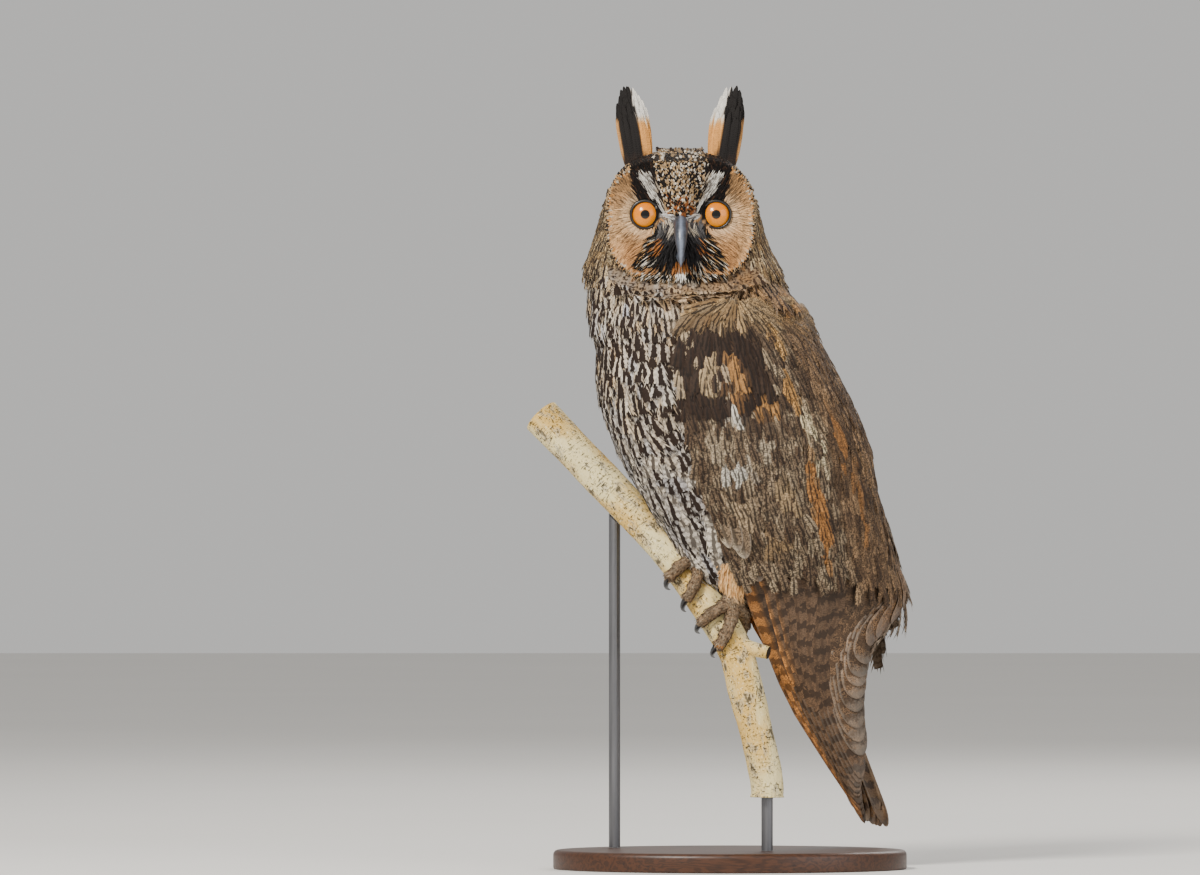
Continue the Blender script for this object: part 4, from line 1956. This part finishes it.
class Eyes(bpy.types.Operator):
    """Eyeballs, and the dark lids round them"""

    bl_idname = "owl.eyes"
    bl_label = "Eyes"

    def execute(self, context):
        finish = iris_paint(settings().iris)
        lid_paint = horn_paint("Eyelid", (8, 7, 6), (20, 17, 15))
        for name, side in (("left", 1), ("right", -1)):
            centre = np.array([FACE_MIDDLE[0] + side * EYE_SPREAD, EYE_DEPTH, FACE_MIDDLE[2]])
            turn = np.linspace(0, math.pi, 42)[1:-1]
            line = centre + np.stack([0 * turn, -np.cos(turn) * EYE_RADIUS, 0 * turn], -1)
            sizes = np.sin(turn) * EYE_RADIUS
            eye = tube("eye_" + name, line, sizes, sizes, (1, 0, 0), 64, ("round", "round"))
            local = mesh_points(eye.data) - centre
            ends = np.hypot(local[:, 0], local[:, 2]) < 0.01
            tips = np.sign(local[ends, 1]) * EYE_RADIUS
            for index, tip in zip(np.flatnonzero(ends), tips):
                eye.data.vertices[index].co = Vector(centre + np.array([0, tip, 0])) * MM
            write_field(eye.data, "local", mesh_points(eye.data) - centre)
            finish.finish(eye)
            part_of_owl(eye, "eye", "eye_" + name)
            angle = np.linspace(0, 2 * math.pi, 72, endpoint=False)
            thick = np.linspace(0, 2 * math.pi, 12, endpoint=False)
            deep = EYE_DEPTH - math.sqrt(EYE_RADIUS**2 - LID_RADIUS**2)
            out = 0.75 + 0.3 * np.clip(np.sin(angle), 0, 1) + 0.03 * np.sin(angle * 9)
            ring_r = LID_RADIUS + 0.1 + np.cos(thick)[None] * out[:, None]
            y = deep - 0.5 + np.sin(thick)[None] * 1.5 + 0 * ring_r
            x = centre[0] + np.cos(angle)[:, None] * ring_r
            z = centre[2] + np.sin(angle)[:, None] * ring_r * 0.96
            points = np.stack([x, y, z], -1)
            a, b = np.meshgrid(np.arange(72), np.arange(12), indexing="ij")
            here, on, after = a * 12, (a + 1) % 72 * 12, (b + 1) % 12
            ids = np.stack([here + b, here + after, on + after, on + b], -1)
            lid = new_piece("eyelid_" + name, points.reshape(-1, 3), ids.reshape(-1, 4).tolist())
            face_outwards(lid)
            write_field(lid.data, "across", np.full(72 * 12, 0.2), "FLOAT")
            lid_paint.finish(lid)
            part_of_owl(lid, "eye")
        return {"FINISHED"}


# Ridge of the upper bill: y, z and radius; lower bill: y, z and half width
UPPER_BILL = (
    (-44, 334, 4.6),
    (-49, 334, 4.8),
    (-53.5, 330.5, 4.4),
    (-56.5, 325, 3.5),
    (-57.6, 319, 2.2),
    (-56.6, 315, 1.2),
    (-55.2, 312.2, 0.35),
)
LOWER_BILL = (
    (-42, 325, 4.2),
    (-47, 320, 3.8),
    (-51, 316.5, 2.6),
    (-53, 314.6, 1.4),
    (-53.7, 313.8, 0.6),
)
BILL_NARROWED = 0.82


class Bill(bpy.types.Operator):
    """Hooked upper bill with its nostrils, and the lower bill"""

    bl_idname = "owl.bill"
    bl_label = "Bill"

    def execute(self, context):
        finish = horn_paint("Bill horn", (38, 39, 44), (134, 142, 158))
        middle = FACE_MIDDLE[0]
        for name, rows, flat in (("bill_upper", UPPER_BILL, 1.0), ("bill_lower", LOWER_BILL, 0.7)):
            smooth = smooth_rows(rows, 7)
            line = np.stack([np.full(len(smooth), middle), smooth[:, 0], smooth[:, 1]], -1)
            wide, deep = smooth[:, 2] * BILL_NARROWED, smooth[:, 2] * flat
            bill = tube(name, line, wide, deep, (1, 0, 0), 32, ("flat", "round"))
            if name == "bill_upper":
                spots = [(middle + side * 3.3, -51.8, 332.4) for side in (-1, 1)]
                join_bodies(bill, [ball_of("nostril", at, 1.1, 14, 10) for at in spots], "DIFFERENCE")
            places = mesh_points(bill.data)
            off = np.abs(places[:, 0] - middle)
            nearest = np.argmin(np.linalg.norm(places[:, None, 1:] - line[None, :, 1:], axis=-1), 1)
            proud = -(places[:, 1] - line[nearest, 1])
            ridge = np.exp(-((off / 0.8) ** 2)) * step_between(-0.5, 1.2, proud)
            write_field(bill.data, "across", 0.15 + 0.75 * ridge, "FLOAT")
            bill.data.shade_smooth()
            finish.finish(bill)
            part_of_owl(bill, "bill", name)
        return {"FINISHED"}


class Claws(bpy.types.Operator):
    """Eight curved black claws"""

    bl_idname = "owl.claws"
    bl_label = "Claws"

    def execute(self, context):
        finish = horn_paint("Claw horn", (12, 12, 13), (46, 46, 50))
        for foot in ("left", "right"):
            start = FOOT_AT[foot]
            ahead = perch_frame(start)[1]
            for toe, shift, last in TOES:
                way = math.copysign(1, last)
                share = np.linspace(0, 1, 20)
                line = np.array(
                    [
                        toe_point(start + shift, last + way * (1 + (CLAW_TURN + 2) * s), 3.3 - 1.7 * s**2)
                        for s in share
                    ]
                )
                sizes = 2.15 - 1.95 * share**1.15
                name = "claw_" + foot + "_" + toe
                claw = tube(name, line, sizes * 0.86, sizes, ahead, 20, ("round", "round"))
                ridge = np.concatenate([np.repeat(0.15 + 0.3 * (1 - share), 20), [0.3, 0.1]])
                write_field(claw.data, "across", ridge, "FLOAT")
                finish.finish(claw)
                part_of_owl(claw, "claw", name)
        return {"FINISHED"}


class Perch(bpy.types.Operator):
    """The cut branch with its broken stub"""

    bl_idname = "owl.perch"
    bl_label = "Branch"

    def execute(self, context):
        rows = smooth_rows(PERCH_LINE, 14)
        count = 64
        line, radius = rows[:, :3], rows[:, 3]
        branch = tube("perch_branch", line, radius - 0.25, radius - 0.25, (0, 1, 0), count)
        root, end = np.array(STUB[0]), np.array(STUB[1])
        share = np.linspace(0, 1, 12)
        sizes = np.interp(share, (0, 0.5, 1), (5.0, 4.1, 3.3))
        stub = tube("stub", root + (end - root) * share[:, None], sizes, sizes, (0, 0, 1), 32)
        join_bodies(branch, [stub])
        mesh = branch.data
        places = mesh_points(mesh).astype(float)
        gone = np.concatenate([[0], np.cumsum(np.linalg.norm(np.diff(line, axis=0), axis=1))])
        nearest = np.argmin(np.linalg.norm(places[:, None] - line[None], axis=-1), 1)
        off = places - line[nearest]
        ahead = unit(np.gradient(line, axis=0))[nearest]
        side = unit(np.cross(ahead, (0, 1.0, 0)))
        up = np.cross(side, ahead)
        turn = np.arctan2(np.sum(off * up, -1), np.sum(off * side, -1))
        along = gone[nearest] + np.sum(off * ahead, -1)
        out = np.linalg.norm(off - ahead * np.sum(off * ahead, -1, keepdims=True), axis=-1)
        wave = np.sin(along * 0.11 + 2.0 * np.sin(turn * 2 + along * 0.03))
        ripple = np.sin(turn * 7 + along * 0.21) * np.sin(along * 0.37 + turn * 3)
        shrink = 0.16 * (wave - 1) + 0.13 * (ripple - 1)
        inner = (along > 1.0) & (along < gone[-1] - 1.0)
        places += unit(off) * (shrink * inner)[:, None]
        mesh.vertices.foreach_set("co", np.ascontiguousarray(places * MM, np.float32).ravel())
        local = np.stack([np.cos(turn) * out, np.sin(turn) * out, along * 0.55], -1)
        write_field(mesh, "local", local)
        write_field(mesh, "around", local * (0.45, 0.45, 4.5))
        write_field(mesh, "across", out / np.maximum(radius[nearest], 1), "FLOAT")
        mesh.update()
        mesh.shade_smooth()
        bark_paint().finish(branch)
        mesh.materials.append(cut_wood_paint().material)
        caps = (line[0], line[-1], end)
        for face in mesh.polygons:
            middle = np.array(face.center) / MM
            for cap, way in zip(caps, (line[0] - line[1], line[-1] - line[-2], end - root)):
                if np.linalg.norm(middle - cap) < 11 and np.array(face.normal) @ unit(way) > 0.95:
                    face.material_index = 1
                    face.use_smooth = False
        part_of_owl(branch, "bark", "perch_branch")
        return {"FINISHED"}


class Stand(bpy.types.Operator):
    """Wooden base and steel rods of the display stand"""

    bl_idname = "owl.stand"
    bl_label = "Stand"

    def execute(self, context):
        turn = np.linspace(0, 2 * math.pi, 160, endpoint=False)
        long, wide = BASE_HALF
        points = [
            [((long - inset) * math.cos(t), (wide - inset) * math.sin(t), tall) for t in turn]
            for tall, inset in BASE_EDGE
        ]
        rows, count = len(BASE_EDGE), len(turn)
        faces = grid_faces(rows, count, closed=True)
        faces += [list(range(count)), list(range((rows - 1) * count, rows * count))]
        base = new_piece("stand_base", np.array(points).reshape(-1, 3), faces)
        face_outwards(base)
        base_wood_paint().finish(base)
        part_of_owl(base, "base_wood", "stand_base")
        steel = rod_paint()
        for node in ("stand_rod_short", "stand_rod_long"):
            for place in frame["nodes"][node].material_slots:
                place.material = steel.material
        return {"FINISHED"}


# The camera and the lights, in metres: place, size, power and colour
CAMERA_PLACE, CAMERA_LENS = (-0.0676, -6.0, 0.2244), 346.0
LIGHTS_AIM = Vector((-0.005, -0.01, 0.25))
LIGHTS = (
    ("Key", (-0.9, -1.5, 1.5), 0.5, 66.0, (1.0, 0.97, 0.91)),
    ("Fill", (1.4, -1.3, 0.7), 1.3, 14.0, (0.95, 0.97, 1.0)),
    ("Rim", (0.7, 1.4, 1.3), 1.0, 16.0, (1.0, 0.98, 0.95)),
)


class Stage(bpy.types.Operator):
    """Pale floor, soft lights and the camera"""

    bl_idname = "owl.stage"
    bl_label = "Stage"

    def execute(self, context):
        half = settings().floor_half
        corners = [(-half, -half, 0), (half, -half, 0), (half, half, 0), (-half, half, 0)]
        floor = new_piece("floor", np.array(corners) / MM, [(0, 1, 2, 3)], smooth=False)
        paint = Paint("Floor", 0.85)
        paint.set(Base_Color=paint.brighten((0.74, 0.72, 0.69), 0.97 + paint.noise(3.0, 2.0) * 0.06))
        paint.finish(floor)
        world = bpy.data.worlds.new("Studio")
        world.use_nodes = True
        back = world.node_tree.nodes["Background"]
        back.inputs["Color"].default_value = (0.80, 0.79, 0.77, 1.0)
        back.inputs["Strength"].default_value = 0.72
        context.scene.world = world
        for name, place, size, power, colour in LIGHTS:
            light = bpy.data.lights.new(name, "AREA")
            light.size, light.energy, light.color = size, power, colour
            lamp = bpy.data.objects.new(name, light)
            lamp.location = place
            lamp.rotation_euler = (LIGHTS_AIM - Vector(place)).to_track_quat("-Z", "Y").to_euler()
            context.scene.collection.objects.link(lamp)
        view = bpy.data.cameras.new("Camera")
        view.lens = CAMERA_LENS
        camera = bpy.data.objects.new("Camera", view)
        camera.location = CAMERA_PLACE
        camera.rotation_euler = (math.pi / 2, 0.0, 0.0)
        context.scene.collection.objects.link(camera)
        context.scene.camera = camera
        return {"FINISHED"}


PIECES = (
    SkinPiece,
    BodyCoat,
    HeadCoat,
    FaceCoat,
    LegDown,
    Wings,
    ShoulderCoat,
    Tail,
    EarTufts,
    Eyes,
    Bill,
    Claws,
    Perch,
    Stand,
    Stage,
)


class OwlPanel(bpy.types.Panel):
    """Lists the owl's pieces in the sidebar"""

    bl_idname = "VIEW3D_PT_owl"
    bl_label = "Owl"
    bl_space_type = "VIEW_3D"
    bl_region_type = "UI"
    bl_category = "Owl"

    def draw(self, context):
        sizes = context.scene.owl
        for name in OwlSettings.__annotations__:
            self.layout.prop(sizes, name)
        for piece in PIECES:
            self.layout.operator(piece.bl_idname)


CLASSES = (OwlSettings, *PIECES, OwlPanel)


def register():
    for kind in CLASSES:
        bpy.utils.register_class(kind)
    bpy.types.Scene.owl = PointerProperty(type=OwlSettings)


def unregister():
    del bpy.types.Scene.owl
    for kind in reversed(CLASSES):
        bpy.utils.unregister_class(kind)


def main():
    register()
    for piece in PIECES:
        group, action = piece.bl_idname.split(".")
        getattr(getattr(bpy.ops, group), action)()


if __name__ == "__main__":
    main()
